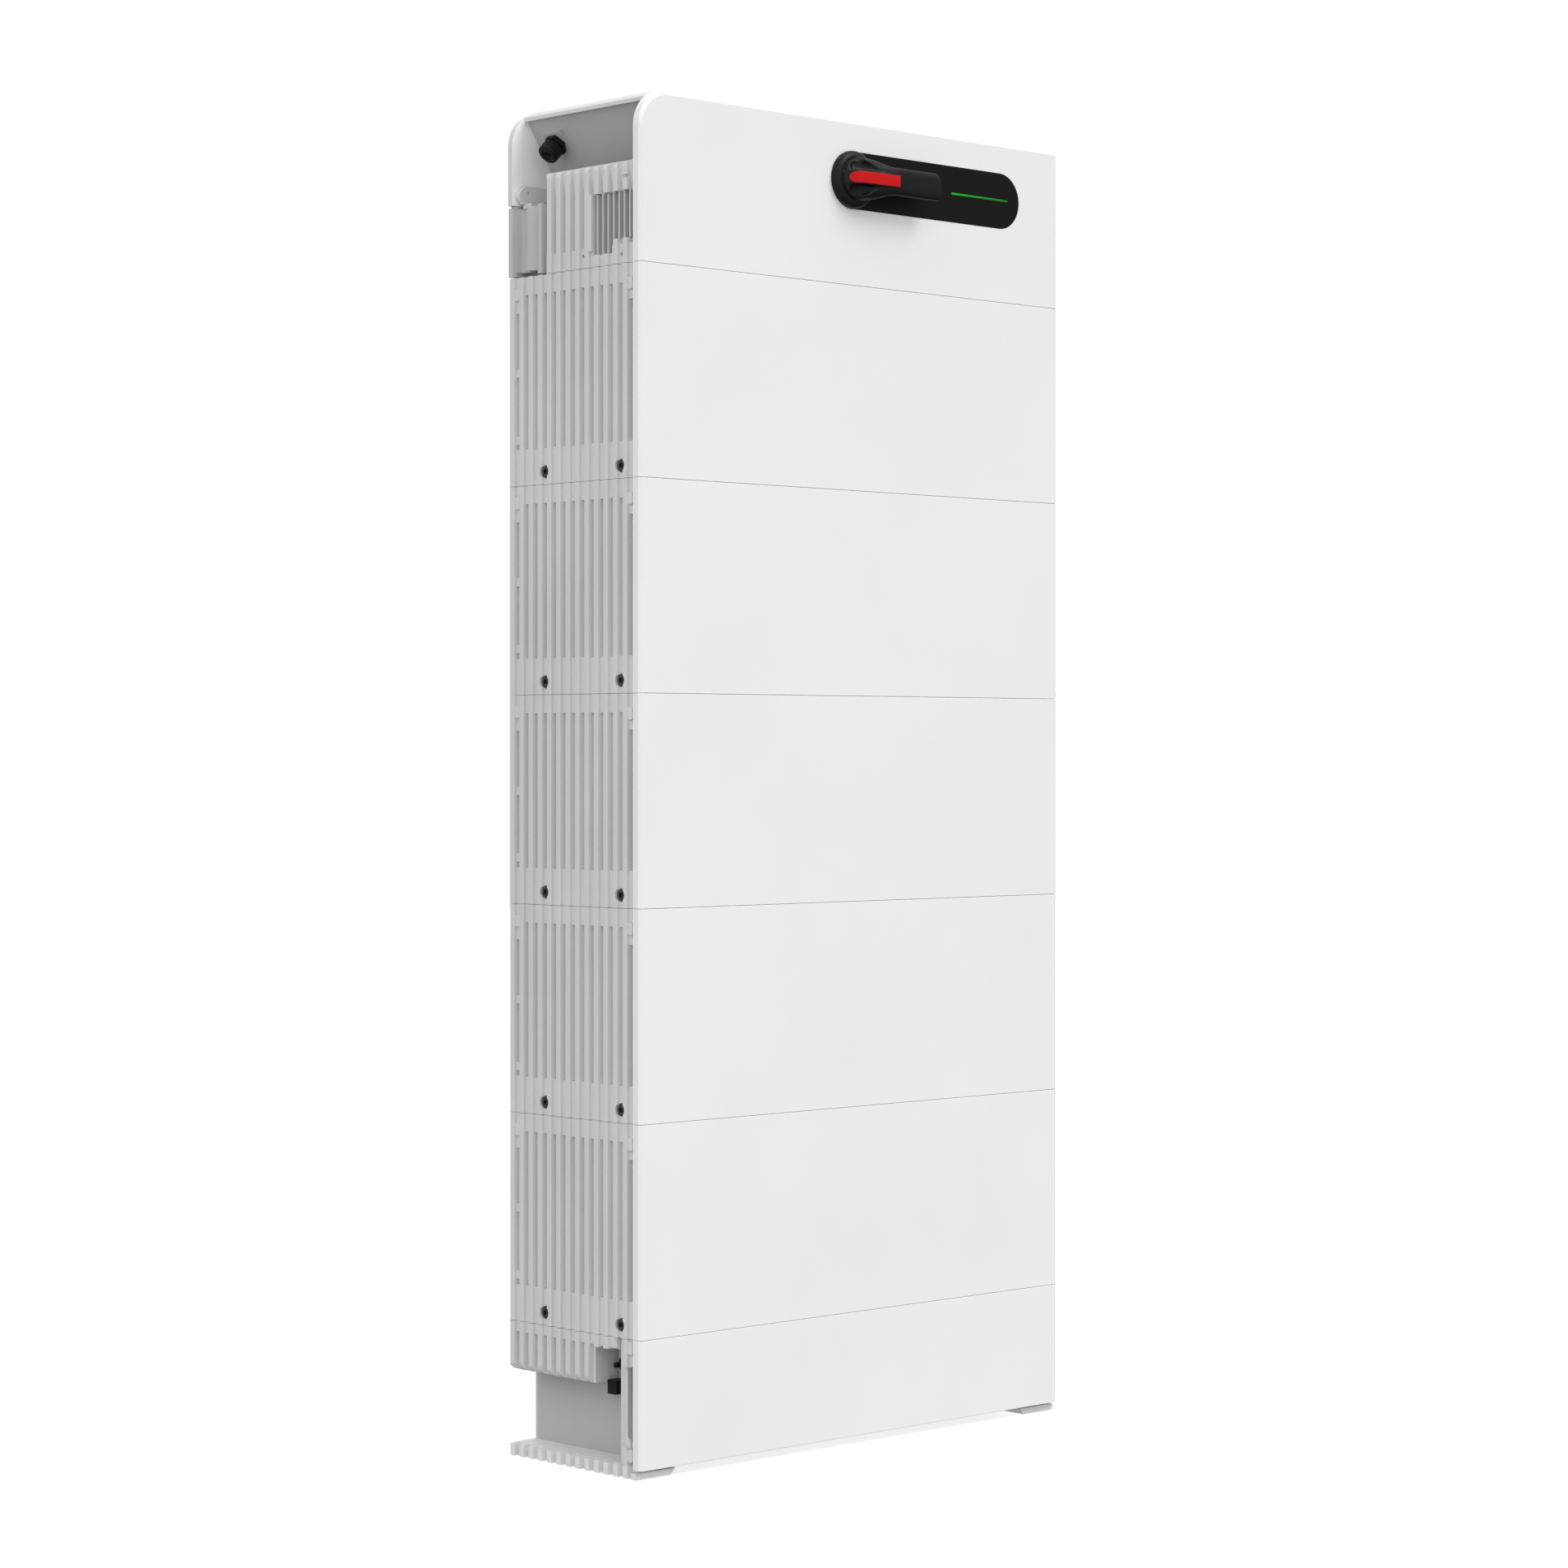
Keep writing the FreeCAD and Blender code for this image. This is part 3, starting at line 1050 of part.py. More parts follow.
def base_side_bar():
    """Upright at the front corner, with a long slot for pulling cables past the front cover."""
    low = PLATE_TOP
    top = BASE_TOP - SEAM / 2
    rib = RIB_CENTRES[-1]
    inner = SIDE_COVER_THICKNESS
    rear = SKIRT_STRIP_FRONT - 1
    bar = prism_z([(inner, rear, 0), (inner, SIDE_COVER_FRONT, 0), (GROOVE_DEPTH, SIDE_COVER_FRONT, 0),
                   (GROOVE_DEPTH, rib - RIB_ROOT / 2, RIB_ROOT_RADIUS),
                   (0, rib - RIB_CREST / 2, RIB_CREST_RADIUS), (0, rib + RIB_CREST / 2, RIB_CREST_RADIUS),
                   (GROOVE_DEPTH, rib + RIB_ROOT / 2, RIB_ROOT_RADIUS), (GROOVE_DEPTH, rear, 0.8)], low, top)
    web = side_block(5, inner, SIDE_COVER_FRONT, rib, SLOT_HIGH, top)
    caps = [painted_cap(FRONT_CAP_Y, SLOT_HIGH + 24), painted_cap(FRONT_CAP_Y, SLOT_LOW - 15)]
    rib_gap = prism_x([(10, SLOT_LOW - 6, 0), (38, SLOT_LOW - 6, 14), (38, SLOT_HIGH, 0),
                       (10, SLOT_HIGH, 0)], side(-1), side(5.5))
    slot = prism_x([(18, SLOT_LOW + 2, 2), (30, SLOT_LOW + 2, 9.5), (30, SLOT_HIGH - 1, 2),
                    (18, SLOT_HIGH - 1, 2)], side(-1), side(15))
    return joined(bar, [web] + caps).cut([rib_gap, slot])


def base_port():
    """Round sealed connector on the wall of the inner box."""
    flange = rod(9, (side(BASE_BOX_DEPTH - 3), PORT_Y, PORT_Z), X_AXIS, 3)
    stub = rod(3.6, (side(BASE_BOX_DEPTH - 16), PORT_Y, PORT_Z), X_AXIS, 14)
    return joined(flange, [stub])


def base_block_port():
    """Rectangular connector housing below the round one."""
    body = side_block(BASE_BOX_DEPTH - 18, BASE_BOX_DEPTH, PORT_Y - 4, PORT_Y + 13, PORT_Z - 37, PORT_Z - 19)
    upright = [e for e in body.Edges if e.BoundBox.XLength > 1]
    return body.makeFillet(1.2, upright)


def base_plate():
    """Floor plate whose toothed edges carry on the ribs; an arch leaves two runners."""
    low = PLATE_BOTTOM
    root = 11
    body = block(side(root - 1), -side(root - 1), SIDE_COVER_FRONT, BODY_DEPTH, low, PLATE_TOP)
    teeth = []
    for centre in RIB_CENTRES:
        rear = min(centre + RIB_ROOT / 2, BODY_DEPTH)
        crest_rear = min(centre + RIB_CREST / 2, rear - 1)
        tooth = prism_z([(root, centre - RIB_ROOT / 2, 0), (0, centre - RIB_CREST / 2, RIB_CREST_RADIUS),
                         (0, crest_rear, RIB_CREST_RADIUS), (root, rear, 0)], low, PLATE_TOP)
        teeth += both(tooth)
    pad = prism_y([(side(0), low, 0), (side(PAD_WIDTH), low, 0), (side(PAD_WIDTH + 8), PAD_TOP, 0),
                   (side(0), PAD_TOP, 0)], PAD_FRONT, PAD_FRONT + 9)
    pad = pad.makeFillet(1.0, [e for e in edges_on_plane(pad, "Z", low) if e.BoundBox.YLength < 0.1])
    flare = PAD_WIDTH + 11
    arch = prism_y([(side(PAD_WIDTH), low - 1, 0), (side(PAD_WIDTH), low, 0), (side(flare), ARCH_TOP, 3),
                    (-side(flare), ARCH_TOP, 3), (-side(PAD_WIDTH), low, 0), (-side(PAD_WIDTH), low - 1, 0)],
                   5, BODY_DEPTH + 5)
    holes = []
    for x, y in FOOT_PLACES:
        holes.append(rod(FOOT_STEM_RADIUS + RUNNING_CLEARANCE, (x, y, 0), Z_AXIS, FOOT_STEM_TOP + 0.5))
        holes.append(rod(FOOT_RADIUS + 1, (x, y, 0), Z_AXIS, FOOT_HEIGHT + 0.5))
    return joined(body.cut(arch), teeth + both(pad)).cut(holes)


def levelling_foot(x, y):
    """Disc foot on a screwed stem in a blind hole of the plate, with two flats for a spanner."""
    disc = rod(FOOT_RADIUS, (x, y, 0), Z_AXIS, FOOT_HEIGHT)
    disc = disc.makeChamfer(1.0, edges_on_plane(disc, "Z", 0))
    flats = [block(x + s * 11.5 - 3, x + s * 11.5 + 3, y - FOOT_RADIUS, y + FOOT_RADIUS, 2.5, FOOT_HEIGHT)
             for s in (-1, 1)]
    stem = rod(FOOT_STEM_RADIUS, (x, y, FOOT_HEIGHT), Z_AXIS, FOOT_STEM_TOP - FOOT_HEIGHT)
    return joined(disc, [stem]).cut(flats)


# ---------------------------------------------------------------- build

def build_modules():
    lids = []
    gaskets = [header_gasket()]
    cells = []
    links = []
    plates = []
    boards = []
    converters = []
    screws = []
    for number, z0 in enumerate(MODULE_BOTTOMS, start=1):
        z1 = z0 + MODULE_HEIGHT
        name = "module_%d_" % number
        save(name + "front_cover", [front_cover(z0 + SEAM / 2, z1 - SEAM / 2, LID_FRONT)])
        save(name + "case", [module_case(z0, z1)])
        save(name + "side_covers", both(module_side_cover(z0, z1)))
        lids.append(lid_plate(z0, z1))
        gaskets.append(lid_gasket(z0, z1))
        cells += [battery_cell(index, z0) for index in range(CELL_COUNT)]
        links += busbars(z0)
        plates += end_plates(z0)
        boards.append(management_board(z0))
        converters.append(pack_converter(z0))
        for y in SCREW_Y:
            screws += both(side_screw(y, z0 + SCREW_HEIGHT))
    save("module_lids", lids)
    save("lid_gaskets", gaskets)
    save("battery_cells", cells)
    save("cell_busbars", links)
    save("cell_end_plates", plates)
    save("management_boards", boards)
    save("pack_converters", converters)
    save("side_screws", screws)


def build_interfaces():
    save("stack_plugs", [stack_plug(z) for z in INTERFACES])
    save("stack_sockets", [stack_socket(z) for z in INTERFACES])
    dowels = []
    for z in INTERFACES:
        dowels += locating_dowels(z)
    save("locating_dowels", dowels)


def build_header():
    save("header_front_cover", [header_front_cover()])
    save("header_shell", [header_shell()])
    save("header_chassis", [header_chassis()])
    save("header_lid", [header_lid()])
    save("header_side_ribs", both(header_side_ribs()))
    save("header_window_fins", both(window_fins()))
    save("header_rear_posts", both(header_rear_post()))
    save("shell_clips", both(shell_clip()))
    save("clip_screws", both(clip_screw()))
    save("control_panel", [control_panel()])
    save("status_light", [status_light()])
    save("light_board", [light_board()])
    save("isolator_handle", [isolator_handle()])
    save("handle_marker", [marker_shape(0)])
    save("isolator_shaft", [isolator_shaft()])
    save("isolator_rotor", [isolator_rotor()])
    save("isolator_housing", [isolator_housing()])
    save("power_board", [power_board()])
    save("link_capacitors", link_capacitors())
    save("power_chokes", power_chokes())
    save("fan_frames", [fan_frame(-FAN_X), fan_frame(FAN_X)])
    save("fan_rotor_left", [fan_rotor(-FAN_X)])
    save("fan_rotor_right", [fan_rotor(FAN_X)])
    save("gland_bodies", both(gland_body()))
    save("gland_nuts", both(gland_nut()))
    save("gland_seals", both(gland_seal()))


def build_base():
    save("base_front_cover", [front_cover(BASE_COVER_BOTTOM, BASE_TOP - SEAM / 2, CASE_FRONT)])
    save("base_frame", [base_frame()])
    save("base_skirts", both(base_skirt()))
    save("base_plate", [base_plate()])
    save("base_side_bars", both(base_side_bar()))
    save("base_round_ports", both(base_port()))
    save("base_block_ports", both(base_block_port()))
    save("levelling_feet", [levelling_foot(x, y) for x, y in FOOT_PLACES])


os.makedirs("parts", exist_ok=True)
build_base()
build_modules()
build_interfaces()
build_header()
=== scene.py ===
import json
import math

import bmesh
import bpy
import numpy as np
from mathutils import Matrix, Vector


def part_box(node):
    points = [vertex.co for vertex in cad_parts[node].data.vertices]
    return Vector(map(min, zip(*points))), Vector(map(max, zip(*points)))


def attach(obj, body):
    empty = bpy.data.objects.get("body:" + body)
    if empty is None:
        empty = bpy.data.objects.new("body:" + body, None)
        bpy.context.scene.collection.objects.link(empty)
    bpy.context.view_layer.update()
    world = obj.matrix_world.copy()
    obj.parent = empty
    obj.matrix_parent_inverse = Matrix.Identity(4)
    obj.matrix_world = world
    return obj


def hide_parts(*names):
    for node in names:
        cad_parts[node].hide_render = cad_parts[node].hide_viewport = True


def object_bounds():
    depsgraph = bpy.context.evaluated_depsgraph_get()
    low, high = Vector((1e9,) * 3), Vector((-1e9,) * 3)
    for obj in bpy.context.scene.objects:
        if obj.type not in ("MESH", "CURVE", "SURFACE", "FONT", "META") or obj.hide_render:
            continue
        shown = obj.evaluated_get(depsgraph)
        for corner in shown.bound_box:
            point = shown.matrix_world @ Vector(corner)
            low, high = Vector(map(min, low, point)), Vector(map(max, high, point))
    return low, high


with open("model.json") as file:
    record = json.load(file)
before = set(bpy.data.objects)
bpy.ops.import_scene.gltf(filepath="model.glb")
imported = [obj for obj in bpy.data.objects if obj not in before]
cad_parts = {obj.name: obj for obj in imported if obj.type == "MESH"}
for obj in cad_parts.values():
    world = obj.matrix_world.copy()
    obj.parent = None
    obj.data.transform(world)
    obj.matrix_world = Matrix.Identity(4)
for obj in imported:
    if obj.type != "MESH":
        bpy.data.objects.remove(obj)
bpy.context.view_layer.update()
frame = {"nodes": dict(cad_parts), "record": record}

scene = bpy.context.scene


# ---------------------------------------------------------------- materials

COAT_ROUGHNESS = 0.12
DRIFT_DETAIL = 3.0
GRAIN_DETAIL = 3.0
SPECK_DETAIL = 4.0
SPECK_SCALE = 0.31      # scale of the specks, as a share of the grain's
BEVEL_SAMPLES = 4
FACE_MATCH = 0.98       # dot product of rounded and flat normals where an edge's wear and painted highlight begin
EDGE_MATCH = 0.80       # and where it is full
FACING_FROM = 0.75      # dot product of a normal and a direction where a facing tone of painted light begins
FACING_TO = 0.95        # and where it is full


def painted(name, colour, rough, grain=900.0, bump=0.15, bump_depth=0.00008, blotch=5.0, spread=0.02,
            wear_and_highlight=0.25, edge=0.0007, rough_spread=0.05, metallic=0.0, coat=0.0, specular=0.5,
            stretch=(1.0, 1.0, 1.0), glow=0.0):
    """Procedural finish: slow colour drift, fine grain in bump and roughness, softened edges, and rubbed
    edges lightened as wear and as a painted highlight.
    """
    mat = bpy.data.materials.new(name)
    mat.use_nodes = True
    tree = mat.node_tree
    nodes, links = tree.nodes, tree.links
    shader = nodes["Principled BSDF"]
    shader.inputs["Metallic"].default_value = metallic
    shader.inputs["Coat Weight"].default_value = coat
    shader.inputs["Coat Roughness"].default_value = COAT_ROUGHNESS
    shader.inputs["Specular IOR Level"].default_value = specular
    place = nodes.new("ShaderNodeTexCoord")
    scaled = nodes.new("ShaderNodeMapping")
    scaled.inputs["Scale"].default_value = stretch
    links.new(place.outputs["Object"], scaled.inputs["Vector"])

    def noise(scale, detail):
        node = nodes.new("ShaderNodeTexNoise")
        node.inputs["Scale"].default_value = scale
        node.inputs["Detail"].default_value = detail
        links.new(scaled.outputs["Vector"], node.inputs["Vector"])
        return node.outputs["Fac"]

    def spread_out(value, low, high, out_low, out_high):
        node = nodes.new("ShaderNodeMapRange")
        for socket, number in (("From Min", low), ("From Max", high),
                               ("To Min", out_low), ("To Max", out_high)):
            node.inputs[socket].default_value = number
        links.new(value, node.inputs["Value"])
        return node.outputs["Result"]

    def mixed(factor, a, b):
        node = nodes.new("ShaderNodeMix")
        node.data_type = "RGBA"
        links.new(factor, node.inputs["Factor"])
        for socket, value in (("A", a), ("B", b)):
            if isinstance(value, (tuple, list)):
                node.inputs[socket].default_value = (*value, 1.0)
            else:
                links.new(value, node.inputs[socket])
        return node.outputs["Result"]

    slow = noise(blotch, DRIFT_DETAIL)
    fine = noise(grain, GRAIN_DETAIL)
    speck = noise(grain * SPECK_SCALE, SPECK_DETAIL)
    dark = tuple(c * (1.0 - spread) for c in colour)
    light = tuple(min(1.0, c * (1.0 + spread)) for c in colour)
    tint = mixed(spread_out(slow, 0.35, 0.65, 0.0, 1.0), dark, light)
    tint = mixed(spread_out(speck, 0.62, 0.75, 0.0, 0.35), tint, dark)
    rounded = nodes.new("ShaderNodeBevel")
    rounded.samples = BEVEL_SAMPLES
    rounded.inputs["Radius"].default_value = edge
    flat = nodes.new("ShaderNodeNewGeometry")
    match = nodes.new("ShaderNodeVectorMath")
    match.operation = "DOT_PRODUCT"
    links.new(rounded.outputs["Normal"], match.inputs[0])
    links.new(flat.outputs["Normal"], match.inputs[1])
    rub_and_highlight = nodes.new("ShaderNodeMath")
    rub_and_highlight.operation = "MULTIPLY"
    links.new(spread_out(match.outputs["Value"], FACE_MATCH, EDGE_MATCH, 0.0, wear_and_highlight), rub_and_highlight.inputs[0])
    links.new(spread_out(speck, 0.40, 0.60, 0.3, 1.0), rub_and_highlight.inputs[1])
    # lighter edges: partly wear, partly a painted highlight
    worn_and_highlit = tuple(min(1.0, c * 1.15 + 0.03) for c in colour)
    links.new(mixed(rub_and_highlight.outputs["Value"], tint, worn_and_highlit), shader.inputs["Base Color"])
    links.new(spread_out(fine, 0.3, 0.7, max(0.02, rough - rough_spread), min(1.0, rough + rough_spread)),
              shader.inputs["Roughness"])
    dent = nodes.new("ShaderNodeBump")
    dent.inputs["Strength"].default_value = bump
    dent.inputs["Distance"].default_value = bump_depth
    links.new(fine, dent.inputs["Height"])
    links.new(rounded.outputs["Normal"], dent.inputs["Normal"])
    links.new(dent.outputs["Normal"], shader.inputs["Normal"])
    if glow:
        shader.inputs["Emission Color"].default_value = (*colour, 1.0)
        shader.inputs["Emission Strength"].default_value = glow
    return mat


def blend_by(mat, value, start, end, colour):
    """Let a finish change to another colour while a node's output goes from start to end."""
    nodes, links = mat.node_tree.nodes, mat.node_tree.links
    level = nodes.new("ShaderNodeMapRange")
    level.inputs["From Min"].default_value = start
    level.inputs["From Max"].default_value = end
    links.new(value, level.inputs["Value"])
    base = nodes["Principled BSDF"].inputs["Base Color"]
    changed = nodes.new("ShaderNodeMix")
    changed.data_type = "RGBA"
    links.new(level.outputs["Result"], changed.inputs["Factor"])
    links.new(base.links[0].from_socket, changed.inputs["A"])
    changed.inputs["B"].default_value = (*colour, 1.0)
    links.new(changed.outputs["Result"], base)


def blend_facing(mat, way, colour):
    """Give the faces that look one way another colour, as painted light."""
    nodes, links = mat.node_tree.nodes, mat.node_tree.links
    side = nodes.new("ShaderNodeNewGeometry")
    match = nodes.new("ShaderNodeVectorMath")
    match.operation = "DOT_PRODUCT"
    match.inputs[1].default_value = way
    links.new(side.outputs["Normal"], match.inputs[0])
    blend_by(mat, match.outputs["Value"], FACING_FROM, FACING_TO, colour)


def blend_along(mat, axis, start, end, colour):
    """Let a finish change to another colour between two places along an axis."""
    nodes, links = mat.node_tree.nodes, mat.node_tree.links
    place = nodes.new("ShaderNodeTexCoord")
    split = nodes.new("ShaderNodeSeparateXYZ")
    links.new(place.outputs["Object"], split.inputs["Vector"])
    blend_by(mat, split.outputs[axis], start, end, colour)


BODY_GREY = (0.64, 0.64, 0.645)
# painted light: the lighter grey of the hood's front-facing faces
HOOD_INSIDE_PAINTED_LIGHT = (0.95, 0.95, 0.955)
# painted shade: the darker grey at the top of the base box
BASE_TOP_PAINTED_SHADE = (0.26, 0.26, 0.265)
# painted light: a dimmer green towards the status light's far end, for its glow fading along it
LIGHT_FAR_PAINTED_DIM_GREEN = (0.012, 0.14, 0.018)
BASE_SHADE_DROP = 0.020     # painted shade darkens the base box from this far below its middle up to its top
REAR_BLEND_FROM = 0.006     # depths in front of the rear face where the painted shade of the chassis and base frame gives way to the body's grey
REAR_BLEND_TO = 0.002

# One finish for each material slot of the record.
FINISHES = {
    "cover_paint": painted("cover_paint", (0.83, 0.83, 0.835), 0.45, bump=0.25, spread=0.012),
    "body_paint": painted("body_paint", BODY_GREY, 0.55, grain=700.0, bump=0.4, spread=0.03),
    "bare_aluminium": painted("bare_aluminium", (0.60, 0.61, 0.62), 0.35, metallic=1.0, stretch=(1, 1, 12)),
    "lid_metal": painted("lid_metal", (0.55, 0.56, 0.57), 0.4, metallic=1.0, stretch=(1, 12, 1)),
    "cell_film": painted("cell_film", (0.03, 0.10, 0.25), 0.3, coat=0.3),
    "copper": painted("copper", (0.72, 0.35, 0.2), 0.3, metallic=1.0, stretch=(12, 1, 1)),
    "circuit_board": painted("circuit_board", (0.02, 0.14, 0.06), 0.45, coat=0.3),
    "black_plastic": painted("black_plastic", (0.004, 0.004, 0.004), 0.45, bump=0.5, specular=0.2),
    "panel_gloss": painted("panel_gloss", (0.003, 0.003, 0.003), 0.5, bump=0.05, specular=0.13),
    "handle_plastic": painted("handle_plastic", (0.004, 0.004, 0.004), 0.42, bump=0.3, specular=0.21),
    "marker_red": painted("marker_red", (0.56, 0.004, 0.005), 0.45, bump=0.2, specular=0.15),
    "light_green": painted("light_green", (0.004, 0.42, 0.015), 0.4, specular=0.1, glow=0.1),
    "steel": painted("steel", (0.5, 0.5, 0.5), 0.35, metallic=1.0),
    "black_steel": painted("black_steel", (0.06, 0.06, 0.062), 0.35, metallic=0.7, wear_and_highlight=0.8),
    "rubber": painted("rubber", (0.02, 0.02, 0.02), 0.8, bump=0.5),
}

# Nodes whose tone differs from their slot's, to follow the shading that the photo shows.
NODE_FINISHES = {
    # painted shade: a darker grey for the chassis in the hood's recess
    "header_chassis": painted("recess_painted_shade", (0.44, 0.44, 0.445), 0.6, grain=600.0, bump=0.5, spread=0.03),
    # painted light: the hood's front-facing faces get a lighter grey below
    "header_shell": painted("hood_paint_with_painted_light", BODY_GREY, 0.55, grain=700.0, bump=0.4, spread=0.03),
    # painted shade: a darker grey for the base box, darker still towards its top
    "base_frame": painted("base_painted_shade", (0.45, 0.45, 0.455), 0.6, grain=600.0, bump=0.5, spread=0.03),
    # painted shade: a darker grey for the rear posts
    "header_rear_posts": painted("post_painted_shade", (0.49, 0.49, 0.495), 0.55, grain=700.0, bump=0.4, spread=0.03),
    # painted light: a lighter grey for the base plate
    "base_plate": painted("plate_painted_light", (0.76, 0.76, 0.765), 0.55, grain=700.0, bump=0.4, spread=0.03),
    # painted shade: a darker grey for the window fins, which sit in shade
    "header_window_fins": painted("cast_fins_painted_shade", (0.50, 0.50, 0.505), 0.5, grain=500.0, bump=0.5, spread=0.04,
                                  metallic=0.25, wear_and_highlight=0.4),
}

light_low, light_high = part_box("status_light")
# painted light: the status light's glow fades along its length
blend_along(FINISHES["light_green"], "X", light_low[0], light_high[0], LIGHT_FAR_PAINTED_DIM_GREEN)
base_low, base_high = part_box("base_frame")
base_middle = (base_low[2] + base_high[2]) / 2
# painted shade: the base box darkens towards its top
blend_along(NODE_FINISHES["base_frame"], "Z", base_middle - BASE_SHADE_DROP, base_high[2], BASE_TOP_PAINTED_SHADE)
# painted light on the hood's front-facing faces, such as its inner rear wall
blend_facing(NODE_FINISHES["header_shell"], (0.0, -1.0, 0.0), HOOD_INSIDE_PAINTED_LIGHT)
rear_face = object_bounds()[1][1]
# the painted shade of the chassis and the base box gives way to the body's grey at the rear face
for node in ("header_chassis", "base_frame"):
    blend_along(NODE_FINISHES[node], "Y", rear_face - REAR_BLEND_FROM, rear_face - REAR_BLEND_TO, BODY_GREY)

for row in frame["record"]["subparts"]:
    obj = frame["nodes"][row["node"]]
    finish = NODE_FINISHES.get(row["node"], FINISHES[row["material_slot"]])
    for place in obj.material_slots:
        place.material = finish
    if not obj.material_slots:
        obj.data.materials.append(finish)


# ---------------------------------------------------------------- sculpted isolator handle

# Sizes in this part are in millimetres and follow the handle's own directions: u along the grip from
# the hub's centre, v upwards, h out from the front cover.
MM = 0.001
CELL = 0.82             # grid step of the sampled form
MARGIN = 2.4            # empty grid around the form, sideways
MARGIN_UNDER = 1.2
MARGIN_OVER = 2.5
SMOOTH_PASSES = 3
SMOOTH_FACTOR = 0.4

HUB_BASE = 1.1
HUB_RADIUS = 38.0
HUB_WALL = 3.0          # height at which the hub's shoulder begins to round
HUB_BLEND = 1.0
RING_RADIUS = 27.5
RING_HEIGHT = 12.0
RING_GROOVE = 1.2
DOME_RISE = 10.0
DOME_SINK = 0.6         # the dome starts this far below the ring
DOME_INSET = 0.4
DOME_SLOPE = 0.8        # turns heights over the dome into distances

GRIP_REACH = 134.5
GRIP_START = -2.0
GRIP_START_BLEND = 4.0
GRIP_HALF = 18.3
GRIP_BACK = 21.0
GRIP_TOP = 35.2
TIP_RADIUS = 4.0        # up to the grip's middle line, growing by TIP_GROWTH to its upper edge
TIP_GROWTH = 5.0
FLARE_END = 52.0
FLARE_LENGTH = 42.0
FLARE_WIDTH = 9.0
FLARE_DROP = 4.0
BACK_END = 58.0
BACK_LENGTH = 38.0
BACK_DROP = 17.0
BARREL_POWER = 3.4      # squareness of the grip's section, less by FLARE_ROUNDING in the flare
FLARE_ROUNDING = 1.1

POCKET_START = (-13.0, 18.0, 25.0)
POCKET_END = (31.0, 9.0, 36.5)
POCKET_WIDE = 10.0
POCKET_NARROW = 1.2
POCKET_TAPER = 1.4

SPINE_HALF = 9.0
SPINE_FROM = -13.0
SPINE_END = 62.0
SPINE_END_BLEND = 6.0
SPINE_EDGE = 2.0
SPINE_SLOPE = 0.75      # turns heights over the spine into distances
SPINE_BEND = 5.0
SPINE_BELOW_TOP = 0.3
SPINE_FREE_FROM = 20.0  # the spine leaves the hub's ring over this length
SPINE_FREE_BY = 60.0
STEEP_START = 31.0
STEEP_SLOPE = 1.45
LEVEL_START = 31.4
LEVEL_SLOPE = 0.052

HUB_TO_GRIP = 5.0       # fillets between the forms
POCKET_EDGE = 1.6
SPINE_FOOT = 1.6

MARKER_HALF = 7.5
MARKER_FROM = -22.0
MARKER_TO = 55.0
MARKER_FIRST = 0.05     # the round end starts just past its point
MARKER_LIFT = 0.95      # above the spine
MARKER_CROWN = 0.25
MARKER_THICK = 2.6
MARKER_EDGE = 0.5
MARKER_STATIONS = 60
MARKER_CROWDING = 1.3   # more stations at the round end
MARKER_LANES = 8
EDGE_SEGMENTS = 2
EDGE_ANGLE = 40

shaft_low, shaft_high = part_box("isolator_shaft")
cover_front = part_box("header_front_cover")[0][1]
HUB_AT = Vector(((shaft_low[0] + shaft_high[0]) / 2, cover_front, (shaft_low[2] + shaft_high[2]) / 2))


def handle_point(u, v, h):
    """World place of a point of the handle."""
    return Vector((HUB_AT.x + u * MM, HUB_AT.y - h * MM, HUB_AT.z + v * MM))


def smooth_min(a, b, k):
    """Union of two forms with a fillet of about k."""
    t = np.clip(0.5 + 0.5 * (b - a) / k, 0.0, 1.0)
    return b * (1 - t) + a * t - k * t * (1 - t)


def smooth_max(a, b, k):
    """Common part of two forms with a rounded edge of about k."""
    return -smooth_min(-a, -b, k)


def ease(t):
    """Smooth step from 0 to 1 while t goes from 0 to 1."""
    t = np.clip(t, 0.0, 1.0)
    return t * t * (3 - 2 * t)


def spine_height(u):
    """Top line of the handle: a steep rise out of the hub, then nearly level to the tip."""
    steep = STEEP_START + STEEP_SLOPE * (u - SPINE_FROM)
    level = np.minimum(LEVEL_START + LEVEL_SLOPE * (u - SPINE_FROM), GRIP_TOP - SPINE_BELOW_TOP)
    return smooth_min(steep, level, SPINE_BEND)


def hub_form(radius, h):
    """Rounded shoulder up to a ring line, with a low dome inside it."""
    lift = np.clip((h - HUB_WALL) / (RING_HEIGHT - HUB_WALL), 0.0, 1.0)
    edge = RING_RADIUS + (HUB_RADIUS - RING_RADIUS) * np.sqrt(1 - lift * lift)
    shoulder = smooth_max(radius - edge, h - RING_HEIGHT, HUB_BLEND)
    top = RING_HEIGHT - DOME_SINK + DOME_RISE * np.sqrt(np.clip(1 - (radius / RING_RADIUS) ** 2, 0.0, 1.0))
    dome = smooth_max((h - top) * DOME_SLOPE, radius - RING_RADIUS + DOME_INSET, HUB_BLEND)
    groove = np.hypot(radius - RING_RADIUS, h - RING_HEIGHT) - RING_GROOVE
    return np.maximum(np.minimum(shoulder, dome), -groove)


